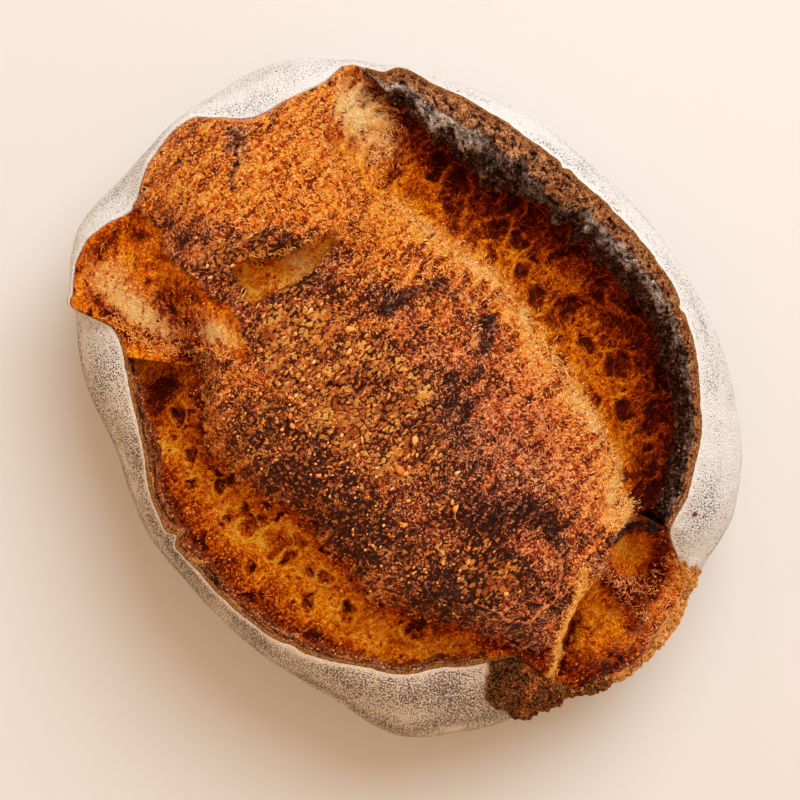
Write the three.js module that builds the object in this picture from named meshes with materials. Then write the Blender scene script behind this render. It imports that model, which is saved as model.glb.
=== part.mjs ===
// An uncut country sourdough loaf: one solid of bread that stands on its flat base.
// Millimetres, +Z up, +X along the loaf. The origin is on the table under the middle of the loaf.
//
// The loaf is one closed skin of meridians. Each meridian runs out over the flat base, up the floured
// side crust to its torn edge, over that edge, down the inside of the lifted flap, and over the open
// top to the crown. The slashes opened into two valleys with the risen bread between them.

import * as THREE from 'three';

// ---- Driving sizes ----

const LENGTH = 260;
const WIDTH = 213;
const CROWN = 100;
const WIDEST_LEVEL = 40;
const FOOT_INSET = 23;
const FOOT_SWELL = 0.35;
const SQUARENESS = 2.1;

// The side crust in profile: the share of its rows below the widest level, how full each part is,
// and the thickness and rounding of its torn edge.
const LOW_SHARE = 0.4;
const LOW_REACH = 0.8;
const LOW_LIFT = 0.9;
const HIGH_REACH = 0.9;
const FLAP_EDGE = 2.4;
const EDGE_SOFTNESS = 0.4;
const FACE_STEEPNESS = 1.3;
const FACE_LEAN = 0.8;
const EDGE_FALL = 12;
const EDGE_ROUNDING = 0.2;

// Fall of the crown across and along the loaf: [distance out, fall there, how sharply it turns down].
const CROSS_FALL = [48, 12, 2];
const LONG_FALL = [115, 19, 2.4];

// Swells and hollows of the outline: [direction in degrees, spread in degrees, rise in mm].
const SWELLS = [
  [14, 8, -5],
  [133, 7, -2],
  [156, 11, 3.5],
  [199, 8, 6],
  [236, 13, -5.8],
  [264, 13, -1.6],
  [313, 9, 6],
  [339, 7, -6],
];

// How far the torn edge of the side crust lies inside the outline: [direction, inset].
const EDGE_INSET = [
  [0, 5], [11, 7], [19, 22], [40, 19], [65, 12], [100, 12], [118, 11], [128, 8], [136, 4], [140, 7], [145, 5],
  [152, 14], [164, 20], [174, 6], [183, 7], [191, 14], [195.5, 11], [200, 6.5], [204, 3.8], [208, 2],
  [210.3, 1.5], [212, 16], [220, 19], [241, 11], [262, 8.5], [280, 10], [296, 14], [313, 26], [324, 27],
  [338, 22], [346, 12], [352, 5],
];

// Height of that torn edge over the table: [direction, height].
const EDGE_HEIGHT = [
  [0, 48], [11, 54], [19, 76], [40, 84], [65, 88], [110, 89], [130, 86], [139, 80], [145, 66],
  [152, 71], [164, 74], [178, 72], [191, 72], [203, 69], [212, 66], [225, 69], [245, 71], [280, 72],
  [313, 73], [330, 71], [341, 66], [350, 48],
];

// Width of the flap's inner face, seen from above: [direction, width].
const FACE_WIDTH = [
  [0, 3], [13, 4], [25, 7], [45, 7], [58, 9], [82, 12], [100, 12], [115, 17], [132, 14], [140, 8],
  [147, 3], [210, 3], [213, 4], [220, 6], [228, 8], [250, 10], [270, 9], [290, 8], [315, 6], [335, 5],
  [348, 3],
];

// The two valleys, along the loaf: [place on X, edge of the risen bread on Y].
const NORTH_BANK = [
  [-88, 52], [-60, 41], [-28, 48], [-12, 52], [17, 47], [40, 43], [60, 37], [82, 24], [96, 12],
];
const SOUTH_BANK = [
  [-92, -34], [-64, -38], [-50, -50], [-36, -60], [-12, -58], [4, -53], [24, -55], [42, -56], [62, -45],
  [98, -27],
];
const NORTH_FLOOR = [[-100, 70], [-80, 68], [-50, 66], [0, 64], [50, 64], [90, 62]];
const SOUTH_FLOOR = [[-98, 60], [-84, 54], [-60, 57], [-20, 60], [40, 61], [90, 62]];
const BANK_RUN = 30;
const BANK_START = BANK_RUN / 3;

// Broad forms of the open top: [X, Y, half length, half width, turn in degrees, rise].
const FORMS = [
  [-103, 16, 26, 34, 90, 4],      // toasted plate over the blunt end
  [-82, -2, 10, 26, 20, -1.5],    // fold across that plate
  [-98, -33, 17, 20, 60, -9],     // torn pocket under the side crust
  [-104, -26, 8, 9, 0, -7],       // its deep hollow
  [-66, -24, 14, 28, -85, -3],    // fibrous slope from the pocket to the middle
  [-58, 4, 30, 7, 62, -9],        // tear across the top
  [-66, 12, 24, 5, 62, 3],        // raised lip of that tear
  [-22, 2, 34, 32, 0, 3],         // blistered middle
  [38, 14, 20, 14, 20, -3],       // shallow saddle
  [62, -18, 20, 24, 30, 3.5],     // folded crust before the torn end
  [-79, -46, 16, 4, -28, 7],      // ridge between pocket and valley
  [100, -8, 8, 26, -12, -8],      // gap behind the frilled edge of the crust
  [100, 20, 13, 9, 0, -6],        // second pocket of the torn end
  [110, 10, 6, 22, 12, 5],        // rough ridge outside that pocket
  [101, 4, 14, 4, 3, 4],          // ridge between pocket and gap
];

// The crust stops short of the torn end: [place on Y, edge of the crust on X].
const CRUST_END = [[-60, 108], [-36, 106], [-22, 98], [-6, 92], [12, 88], [26, 86], [50, 110]];
const TORN_DROP = 17;
const TORN_RUN = 9;

// ---- Mesh ----

const MERIDIANS = 132;
const BASE_ROWS = 4;
const WALL_ROWS = 13;
const FACE_ROWS = 4;
const TOP_ROWS = 20;

// ---- Shape functions ----

// A smooth curve through stations [place, value], level beyond both ends.
function along(stations, place) {
  const last = stations.length - 1;
  if (place <= stations[0][0]) return stations[0][1];
  if (place >= stations[last][0]) return stations[last][1];
  const next = stations.findIndex(([at]) => at > place);
  const before = stations[Math.max(next - 2, 0)];
  const start = stations[next - 1];
  const end = stations[next];
  const after = stations[Math.min(next + 1, last)];
  const run = end[0] - start[0];
  const slopeIn = ((end[1] - before[1]) / (end[0] - before[0])) * run;
  const slopeOut = ((after[1] - start[1]) / (after[0] - start[0])) * run;
  const t = (place - start[0]) / run;
  return (
    start[1] * (1 + 2 * t) * (1 - t) ** 2 + slopeIn * t * (1 - t) ** 2
    + end[1] * t * t * (3 - 2 * t) + slopeOut * t * t * (t - 1)
  );
}

// The same for stations round the loaf, in degrees.
function around(stations, degrees) {
  const wrapped = [
    ...stations.slice(-2).map(([at, value]) => [at - 360, value]),
    ...stations,
    ...stations.slice(0, 2).map(([at, value]) => [at + 360, value]),
  ];
  return along(wrapped, degrees);
}

function turnBetween(a, b) {
  return ((a - b + 540) % 360) - 180;
}

function outline(degrees, swellShare = 1) {
  const angle = THREE.MathUtils.degToRad(degrees);
  const reach = Math.abs(Math.cos(angle) / (LENGTH / 2)) ** SQUARENESS;
  const spread = Math.abs(Math.sin(angle) / (WIDTH / 2)) ** SQUARENESS;
  const swell = SWELLS.reduce(
    (sum, [at, wide, rise]) => sum + rise * Math.exp(-((turnBetween(degrees, at) / wide) ** 2)),
    0,
  );
  return (reach + spread) ** (-1 / SQUARENESS) + swellShare * swell;
}

// Height of the open top at a place: a dome, cut by the valleys and the torn end, with its broad forms.
function topHeight(x, y) {
  const degrees = (THREE.MathUtils.radToDeg(Math.atan2(y, x)) + 360) % 360;
  const out = Math.hypot(x, y) / outline(degrees);
  let height = CROWN;
  height -= CROSS_FALL[1] * Math.abs(y / CROSS_FALL[0]) ** CROSS_FALL[2];
  height -= LONG_FALL[1] * Math.abs(x / LONG_FALL[0]) ** LONG_FALL[2];
  height -= EDGE_FALL * (Math.max(out - 1 + EDGE_ROUNDING, 0) / EDGE_ROUNDING) ** 2;
  for (const [atX, atY, long, wide, turn, rise] of FORMS) {
    const angle = THREE.MathUtils.degToRad(turn);
    const forward = (x - atX) * Math.cos(angle) + (y - atY) * Math.sin(angle);
    const aside = (y - atY) * Math.cos(angle) - (x - atX) * Math.sin(angle);
    height += rise * Math.exp(-((forward / long) ** 2) - (aside / wide) ** 2);
  }
  const { smoothstep, lerp } = THREE.MathUtils;
  const north = along(NORTH_BANK, x);
  const south = along(SOUTH_BANK, x);
  const pastNorth = smoothstep(y - north, -BANK_START, BANK_RUN - BANK_START);
  const pastSouth = smoothstep(south - y, -BANK_START, BANK_RUN - BANK_START);
  height = lerp(height, along(NORTH_FLOOR, x), pastNorth);
  height = lerp(height, along(SOUTH_FLOOR, x), pastSouth);
  const end = along(CRUST_END, y);
  height -= TORN_DROP * smoothstep(x, end - TORN_RUN / 2, end + TORN_RUN);
  return height;
}

// One meridian, from the middle of the base to the crown, as [radius, height] pairs without the poles.
function meridian(degrees) {
  const angle = THREE.MathUtils.degToRad(degrees);
  const widest = outline(degrees);
  const edge = widest - around(EDGE_INSET, degrees);
  const edgeHeight = around(EDGE_HEIGHT, degrees);
  const faceWidth = around(FACE_WIDTH, degrees);
  const foot = outline(degrees, FOOT_SWELL) - FOOT_INSET;
  const profile = [];
  for (let row = 1; row <= BASE_ROWS; row++) profile.push([(foot * row) / BASE_ROWS, 0]);
  for (let row = 1; row <= WALL_ROWS; row++) {
    const t = row / WALL_ROWS;
    const low = Math.min(t / LOW_SHARE, 1) * (Math.PI / 2);
    const high = Math.max((t - LOW_SHARE) / (1 - LOW_SHARE), 0) * (Math.PI / 2);
    const reach = t <= LOW_SHARE
      ? foot + (widest - foot) * Math.sin(low) ** LOW_REACH
      : edge + (widest - edge) * Math.cos(high) ** HIGH_REACH;
    const level = t <= LOW_SHARE
      ? WIDEST_LEVEL * (1 - Math.cos(low)) ** LOW_LIFT
      : WIDEST_LEVEL + (edgeHeight - WIDEST_LEVEL) * Math.sin(high);
    profile.push([reach, level]);
  }
  const inner = edge - Math.min(FLAP_EDGE, faceWidth / 2);
  const floorRadius = edge - faceWidth;
  const floor = topHeight(floorRadius * Math.cos(angle), floorRadius * Math.sin(angle));
  for (let row = 0; row < FACE_ROWS; row++) {
    const t = row / FACE_ROWS;
    const level = THREE.MathUtils.lerp(edgeHeight - EDGE_SOFTNESS, floor, t ** FACE_STEEPNESS);
    profile.push([THREE.MathUtils.lerp(inner, floorRadius, t ** FACE_LEAN), level]);
  }
  for (let row = 0; row < TOP_ROWS; row++) {
    const radius = floorRadius * (1 - row / TOP_ROWS);
    profile.push([radius, topHeight(radius * Math.cos(angle), radius * Math.sin(angle))]);
  }
  return profile;
}

// The whole skin: the meridians joined to their neighbours, with one point at each pole.
function loafGeometry() {
  const meridians = [];
  for (let step = 0; step < MERIDIANS; step++) meridians.push(meridian((step * 360) / MERIDIANS));
  const rows = meridians[0].length;
  const positions = [0, 0, 0];
  meridians.forEach((profile, step) => {
    const angle = (step * 2 * Math.PI) / MERIDIANS;
    for (const [radius, height] of profile) {
      positions.push(radius * Math.cos(angle), radius * Math.sin(angle), height);
    }
  });
  positions.push(0, 0, topHeight(0, 0));
  const crownPoint = positions.length / 3 - 1;
  const faces = [];
  for (let step = 0; step < MERIDIANS; step++) {
    const here = 1 + step * rows;
    const next = 1 + ((step + 1) % MERIDIANS) * rows;
    faces.push(0, next, here);
    for (let row = 0; row < rows - 1; row++) {
      faces.push(here + row, next + row, next + row + 1);
      faces.push(here + row, next + row + 1, here + row + 1);
    }
    faces.push(here + rows - 1, next + rows - 1, crownPoint);
  }
  const geometry = new THREE.BufferGeometry();
  geometry.setAttribute('position', new THREE.Float32BufferAttribute(positions, 3));
  geometry.setIndex(faces);
  geometry.computeVertexNormals();
  return geometry;
}

// ---- The loaf ----

const crust = new THREE.MeshStandardMaterial({ color: 0xb06a2c, roughness: 0.75, metalness: 0 });
const loaf = new THREE.Mesh(loafGeometry(), crust);
loaf.name = 'loaf';

const group = new THREE.Group();
group.add(loaf);

export default group;
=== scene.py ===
"""Looks of an uncut country sourdough loaf: floured side crust, lifted charred flaps, torn crumb
and a blistered crown. Lengths are in millimetres until a mesh is made, which is in metres.
+X runs along the loaf to its torn end, +Y to the side with the tall flap, +Z up."""

import itertools
import math

import bpy
import numpy as np
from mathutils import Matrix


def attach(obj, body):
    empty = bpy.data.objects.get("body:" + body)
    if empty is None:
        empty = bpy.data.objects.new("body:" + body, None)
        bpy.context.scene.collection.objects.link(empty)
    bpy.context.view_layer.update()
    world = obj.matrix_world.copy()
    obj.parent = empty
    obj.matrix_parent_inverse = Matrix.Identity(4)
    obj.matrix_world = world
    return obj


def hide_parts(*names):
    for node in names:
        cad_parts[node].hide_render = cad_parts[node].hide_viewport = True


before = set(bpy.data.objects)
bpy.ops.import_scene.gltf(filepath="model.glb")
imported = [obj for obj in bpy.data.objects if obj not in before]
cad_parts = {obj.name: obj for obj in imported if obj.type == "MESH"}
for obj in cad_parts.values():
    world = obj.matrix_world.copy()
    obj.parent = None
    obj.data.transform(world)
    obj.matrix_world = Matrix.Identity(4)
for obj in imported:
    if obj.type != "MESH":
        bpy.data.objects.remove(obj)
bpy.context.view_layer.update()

MM = 0.001

# ---- Sizes of the loaf, as its solid has them ----

LENGTH = 260
WIDTH = 213
CROWN = 100
WIDEST_LEVEL = 40
FOOT_INSET = 23
FOOT_SWELL = 0.35
SQUARENESS = 2.1
LOW_REACH = 0.8
LOW_LIFT = 0.9
HIGH_REACH = 1.5
EDGE_FALL = 12
EDGE_ROUNDING = 0.2
CROSS_FALL = (48, 12)
LONG_FALL = (115, 19)
# Swells of the outline: angle, half spread, rise.
SWELLS = [(14, 8, -5), (133, 7, -2), (156, 11, 3.5), (199, 8, 6), (236, 13, -5.8), (264, 13, -1.6),
          (313, 9, 6), (339, 7, -6)]
# Round the loaf, by angle: how far the torn edge stands inside the widest line, its height, and the
# width of the torn face inside it.
EDGE_INSET = [(0, 5), (11, 7), (19, 22), (40, 19), (65, 12), (100, 12), (118, 11), (128, 8), (136, 4),
              (140, 7), (145, 5), (152, 14), (164, 20), (174, 6), (183, 7), (191, 14), (195.5, 11),
              (200, 6.5), (204, 3.8), (208, 2), (210.3, 1.5), (212, 16), (220, 19), (241, 11), (262, 8.5),
              (280, 10), (296, 14), (313, 26), (324, 27), (336, 23), (340, 14), (343, 6), (348, 4)]
EDGE_HEIGHT = [(0, 48), (11, 54), (19, 76), (40, 84), (65, 88), (110, 89), (130, 86), (139, 80),
               (145, 66), (152, 71), (164, 74), (178, 72), (191, 72), (203, 69), (212, 66), (225, 69),
               (245, 71), (280, 72), (313, 73), (330, 71), (337, 68), (342, 55), (347, 49)]
FACE_WIDTH = [(0, 3), (13, 4), (25, 7), (45, 7), (58, 9), (82, 12), (100, 12), (115, 17), (132, 14),
              (140, 8), (147, 3), (210, 3), (213, 4), (220, 6), (228, 8), (250, 10), (270, 9), (290, 8),
              (315, 6), (335, 5), (348, 3)]
# Along the loaf, by x: where the risen bread falls to each valley, and how high the valley's floor is.
NORTH_BANK = [(-88, 52), (-60, 41), (-28, 48), (-12, 52), (17, 47), (40, 43), (60, 37), (82, 24),
              (96, 12)]
SOUTH_BANK = [(-92, -34), (-64, -38), (-50, -50), (-36, -60), (-12, -58), (4, -53), (24, -55), (42, -56),
              (62, -45), (98, -27)]
NORTH_FLOOR = [(-100, 70), (-80, 68), (-50, 66), (0, 64), (50, 64), (90, 62)]
SOUTH_FLOOR = [(-98, 60), (-84, 54), (-60, 57), (-20, 60), (40, 61), (90, 62)]
BANK_RUN = 30
# Forms of the top: x, y, half length, half width, turn, rise.
FORMS = [(-103, 16, 26, 34, 90, 4), (-82, -2, 10, 26, 20, -1.5), (-98, -33, 17, 20, 60, -9),
         (-104, -26, 8, 9, 0, -7), (-66, -24, 14, 28, -85, -3), (-58, 4, 30, 7, 62, -9),
         (-66, 12, 24, 5, 62, 3), (-22, 2, 34, 32, 0, 3), (38, 14, 20, 14, 20, -3),
         (62, -18, 20, 24, 30, 3.5), (-79, -46, 16, 4, -28, 7), (100, -8, 8, 26, -12, -8),
         (100, 20, 13, 9, 0, -6), (110, 10, 6, 22, 12, 5), (101, 4, 14, 4, 3, 4)]
# Where the crust ends at the torn end: y, x.
CRUST_END = [(-60, 108), (-36, 106), (-22, 98), (-6, 92), (12, 88), (26, 86), (50, 110)]
TORN_DROP = 17
TORN_RUN = 4

# ---- Sizes of the fine work ----

TOP_PITCH = 0.37
WALL_COLUMNS = 960
WALL_ROWS = 66
BASE_COLUMNS, BASE_ROWS = ((300, 40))
FLAP_PITCH = 0.5

# ---- Shape functions ----


def step(low, high, value):
    """0 below low, 1 above high, smooth between."""
    t = np.clip((value - low) / (high - low), 0, 1)
    return t * t * (3 - 2 * t)


def mix(a, b, share):
    """From a to b as the share goes from 0 to 1."""
    return a + (b - a) * share


def along(stations, place):
    """A smooth curve through stations (place, value), level beyond both ends."""
    at, value = np.array(stations, float).T
    slope = np.empty_like(value)
    slope[1:-1] = (value[2:] - value[:-2]) / (at[2:] - at[:-2])
    slope[0] = (value[1] - value[0]) / (at[1] - at[0])
    slope[-1] = (value[-1] - value[-2]) / (at[-1] - at[-2])
    place = np.clip(np.asarray(place, float), at[0], at[-1])
    i = np.clip(np.searchsorted(at, place, "right"), 1, len(at) - 1)
    run = at[i] - at[i - 1]
    t = (place - at[i - 1]) / run
    return (value[i - 1] * (1 + 2 * t) * (1 - t) ** 2 + slope[i - 1] * run * t * (1 - t) ** 2
            + value[i] * t * t * (3 - 2 * t) + slope[i] * run * t * t * (t - 1))


def around(stations, degrees):
    """The same round the loaf, where the last station runs on into the first."""
    before = [(at - 360, value) for at, value in stations[-2:]]
    after = [(at + 360, value) for at, value in stations[:2]]
    return along(before + list(stations) + after, np.asarray(degrees, float) % 360)


def turn_between(a, b):
    """Turn from b to a, between -180 and 180 degrees."""
    return (np.asarray(a, float) - b + 180) % 360 - 180


def bumps(degrees, places):
    """Soft rises round the loaf, each with its angle, half spread and height."""
    return sum(rise * np.exp(-(turn_between(degrees, at) / wide) ** 2) for at, wide, rise in places)


def outline(degrees, swell_share=1.0):
    """Radius of the loaf's widest line, or of its foot with a smaller share of the swells."""
    angle = np.radians(degrees)
    reach = np.abs(np.cos(angle) / (LENGTH / 2)) ** SQUARENESS
    spread = np.abs(np.sin(angle) / (WIDTH / 2)) ** SQUARENESS
    return (reach + spread) ** (-1 / SQUARENESS) + swell_share * bumps(degrees, SWELLS)


def directions(x, y):
    return np.degrees(np.arctan2(y, x)) % 360


def turned(x, y, at_x, at_y, turn):
    """Distances forward and aside of a spot, for a spot turned by some degrees."""
    angle = math.radians(turn)
    return ((x - at_x) * math.cos(angle) + (y - at_y) * math.sin(angle),
            (y - at_y) * math.cos(angle) - (x - at_x) * math.sin(angle))


def mound(x, y, at_x, at_y, long, wide, turn):
    """A soft oval, 1 at its middle."""
    forward, aside = turned(x, y, at_x, at_y, turn)
    return np.exp(-(forward / long) ** 2 - (aside / wide) ** 2)


def top_height(x, y):
    """The open top without its fine work: crown, forms, banks down to the valleys, torn end."""
    out = np.hypot(x, y) / outline(directions(x, y))
    height = CROWN - CROSS_FALL[1] * (y / CROSS_FALL[0]) ** 2
    height = height - LONG_FALL[1] * np.abs(x / LONG_FALL[0]) ** 2.4
    height -= EDGE_FALL * (np.maximum(out - 1 + EDGE_ROUNDING, 0) / EDGE_ROUNDING) ** 2
    for at_x, at_y, long, wide, turn, rise in FORMS:
        height += rise * mound(x, y, at_x, at_y, long, wide, turn)
    north, south = along(NORTH_BANK, x), along(SOUTH_BANK, x)
    height = mix(height, along(NORTH_FLOOR, x), step(-BANK_RUN / 3, BANK_RUN * 2 / 3, y - north))
    height = mix(height, along(SOUTH_FLOOR, x), step(-BANK_RUN / 3, BANK_RUN * 2 / 3, south - y))
    end = along(CRUST_END, y)
    return height - TORN_DROP * step(-TORN_RUN / 2, TORN_RUN, x - end)


# ---- Noise ----

# Each call has a seed of its own, so that no two patterns line up.


def dice(i, j, seed):
    """A steady random number from 0 to 1 for each lattice point."""
    n = (i.astype(np.int64) * 73856093 ^ j.astype(np.int64) * 19349663 ^ seed * 83492791) & 0xFFFFFFFF
    n = n.astype(np.uint32)
    n ^= n >> np.uint32(15)
    n *= np.uint32(2246822519)
    n ^= n >> np.uint32(13)
    n *= np.uint32(3266489917)
    n ^= n >> np.uint32(16)
    return n / 4294967296.0


def lattice(u, size, loop):
    """Whole and part lattice steps. A loop length makes the pattern close on itself."""
    count = max(round(loop / size), 1) if loop else 0
    scaled = u * count / loop if loop else u / size
    whole = np.floor(scaled)
    return whole, scaled - whole, count


def waves(u, v, size, seed, loop=0):
    """Smooth noise from about -1 to 1, with features of one size."""
    iu, fu, count = lattice(u, size, loop)
    iv, fv, _ = lattice(v, size, 0)
    wu, wv = fu ** 3 * (fu * (fu * 6 - 15) + 10), fv ** 3 * (fv * (fv * 6 - 15) + 10)
    total = 0
    for du in (0, 1):
        column = (iu + du) % count if count else iu + du
        for dv in (0, 1):
            angle = 2 * math.pi * dice(column, iv + dv, seed)
            pull = np.cos(angle) * (fu - du) + np.sin(angle) * (fv - dv)
            total = total + pull * (wu if du else 1 - wu) * (wv if dv else 1 - wv)
    return total * 1.5


def rough(u, v, size, seed, octaves=4, loop=0):
    """Waves on finer waves."""
    total, share = 0, 1.0
    for octave in range(octaves):
        total = total + share * waves(u, v, size / 2 ** octave, seed + 17 * octave, loop)
        share *= 0.5
    return total / (2 - 2 ** (1 - octaves))


def cells(u, v, size, seed, loop=0):
    """Distances to the nearest and second nearest cell centre, in cell sizes, and the cell's own number."""
    iu, fu, count = lattice(u, size, loop)
    iv, fv, _ = lattice(v, size, 0)
    near, second, own = np.full_like(fu, 9.0), np.full_like(fu, 9.0), np.zeros_like(fu)
    for du in (-1, 0, 1):
        column = (iu + du) % count if count else iu + du
        for dv in (-1, 0, 1):
            number = dice(column, iv + dv, seed)
            away = np.hypot(du + number - fu, dv + dice(column, iv + dv, seed + 1) - fv)
            closer = away < near
            second = np.where(closer, near, np.minimum(second, away))
            own = np.where(closer, number, own)
            near = np.where(closer, away, near)
    return near, second, own


def domes(u, v, size, seed, loop=0):
    """Small rounded lumps, 0 between them and 1 on top."""
    near, second, own = cells(u, v, size, seed, loop)
    return step(0, 0.55, second - near) * (0.55 + 0.45 * own)


# ---- The torn edge of the side crust ----

# Length of the pattern that closes on itself round the loaf.
ROUND = 720.0
# Angle of the middle of the torn end.
TORN_END = 358
# Nicks of the edge: angle, half spread, change of radius.
EDGE_NICKS = [(256, 1.1, -2.6), (101, 0.8, -1.2), (63, 1.0, -1.0), (290, 1.4, -0.8), (172, 2.0, 1.0)]


def edge_line(degrees):
    """Radius and height of the torn edge, with its small nicks."""
    place = np.asarray(degrees, float) % 360 / 360 * ROUND
    wander = 0.55 * waves(place, 0 * place, 14, 301, ROUND) + 0.22 * waves(place, 0 * place, 4, 302, ROUND)
    lift = 0.9 * waves(place, 0 * place, 32, 303, ROUND) + 0.3 * waves(place, 0 * place, 7, 304, ROUND)
    torn = step(24, 8, np.abs(turn_between(degrees, TORN_END)))
    wander = wander * (1 + 3 * torn) - 1.5 * torn * np.abs(waves(place, 0 * place, 9, 305, ROUND))
    radius = outline(degrees) - around(EDGE_INSET, degrees) + wander + bumps(degrees, EDGE_NICKS)
    return radius, around(EDGE_HEIGHT, degrees) + lift * (1 + torn)


# ---- Meshes ----


def grid_faces(rows, columns, closed):
    """Corner numbers of a grid of quads, rows first, joined round when closed."""
    across = np.arange(columns if closed else columns - 1)
    row = np.arange(rows - 1)[:, None]
    here = row * columns + across
    right = row * columns + (across + 1) % columns
    return np.stack([here, right, right + columns, here + columns], -1).reshape(-1, 4)


def make_piece(name, points, faces, masks, bake_map):
    """A smooth quad mesh in metres, with its masks as attributes and its own flat map."""
    mesh = bpy.data.meshes.new(name)
    mesh.vertices.add(len(points))
    mesh.vertices.foreach_set("co", (points * MM).astype(np.float32).ravel())
    mesh.loops.add(faces.size)
    mesh.loops.foreach_set("vertex_index", faces.astype(np.int32).ravel())
    mesh.polygons.add(len(faces))
    sides = faces.shape[1]
    mesh.polygons.foreach_set("loop_start", np.arange(0, faces.size, sides, dtype=np.int32))
    mesh.polygons.foreach_set("loop_total", np.full(len(faces), sides, np.int32))
    mesh.polygons.foreach_set("use_smooth", np.ones(len(faces), bool))
    for mask, values in masks.items():
        attribute = mesh.attributes.new(mask, "FLOAT", "POINT")
        attribute.data.foreach_set("value", np.asarray(values, np.float32).ravel())
    layer = mesh.uv_layers.new(name="OFBake")
    layer.data.foreach_set("uv", bake_map[faces.ravel()].astype(np.float32).ravel())
    mesh.update(calc_edges=True)
    mesh.validate()
    piece = bpy.data.objects.new(name, mesh)
    bpy.context.scene.collection.objects.link(piece)
    return piece


def keep_used(points, faces, masks, bake_map):
    """Drops the points that no face uses."""
    used = np.unique(faces)
    renumber = np.zeros(len(points), np.int64)
    renumber[used] = np.arange(len(used))
    masks = {mask: values[used] for mask, values in masks.items()}
    return points[used], renumber[faces], masks, bake_map[used]


def run_down(grid):
    """Distance along the surface from the first row of a grid to each of its points."""
    steps = np.linalg.norm(np.diff(grid, axis=0), axis=2)
    return np.vstack([0 * steps[:1], np.cumsum(steps, 0)])


def make_sheet(name, grid, closed, masks, map_u, map_v):
    """A piece from a grid of points, with its faces turned to look outward."""
    faces = grid_faces(*grid.shape[:2], closed)[:, ::-1]
    bake_map = np.stack([map_u, map_v / map_v.max()], -1).reshape(-1, 2)
    return make_piece(name, grid.reshape(-1, 3), faces, masks, bake_map)


def push_out(grid, amount, closed):
    """Moves each point of a grid (rows, columns, 3) along its surface normal."""
    if closed:
        across = np.roll(grid, -1, 1) - np.roll(grid, 1, 1)
    else:
        across = np.gradient(grid, axis=1)
    normal = np.cross(across, np.gradient(grid, axis=0))
    normal /= np.maximum(np.linalg.norm(normal, axis=2, keepdims=True), 1e-9)
    return grid + normal * amount[..., None]


def ring_points(degrees, radius, height):
    """Points round the loaf from their angles, radii and heights."""
    angle = np.radians(degrees)
    return np.stack([radius * np.cos(angle), radius * np.sin(angle), height], -1)


def spread_curve(controls, rows):
    """Rows of points on smooth curves through control points, controls first in the array."""
    count = len(controls) - 1
    place = np.linspace(0, count, rows)
    i = np.minimum(place.astype(int), count - 1)
    t = (place - i).reshape(-1, *[1] * (controls.ndim - 1))
    p1, p2 = controls[i], controls[i + 1]
    p0, p3 = controls[np.maximum(i - 1, 0)], controls[np.minimum(i + 2, count)]
    return 0.5 * (2 * p1 + (p2 - p0) * t + (2 * p0 - 5 * p1 + 4 * p2 - p3) * t ** 2
                  + (3 * p1 - p0 - 3 * p2 + p3) * t ** 3)


# ---- Side crust ----

# Charred lump over the side crust: angle, half spread, lowest level.
LUMP = (336.5, 6.4, 37)
# Angle of the side in shade, where the flour is painted thinner, warmer and darker: painted shade.
SHADY_SIDE = 285


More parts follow.
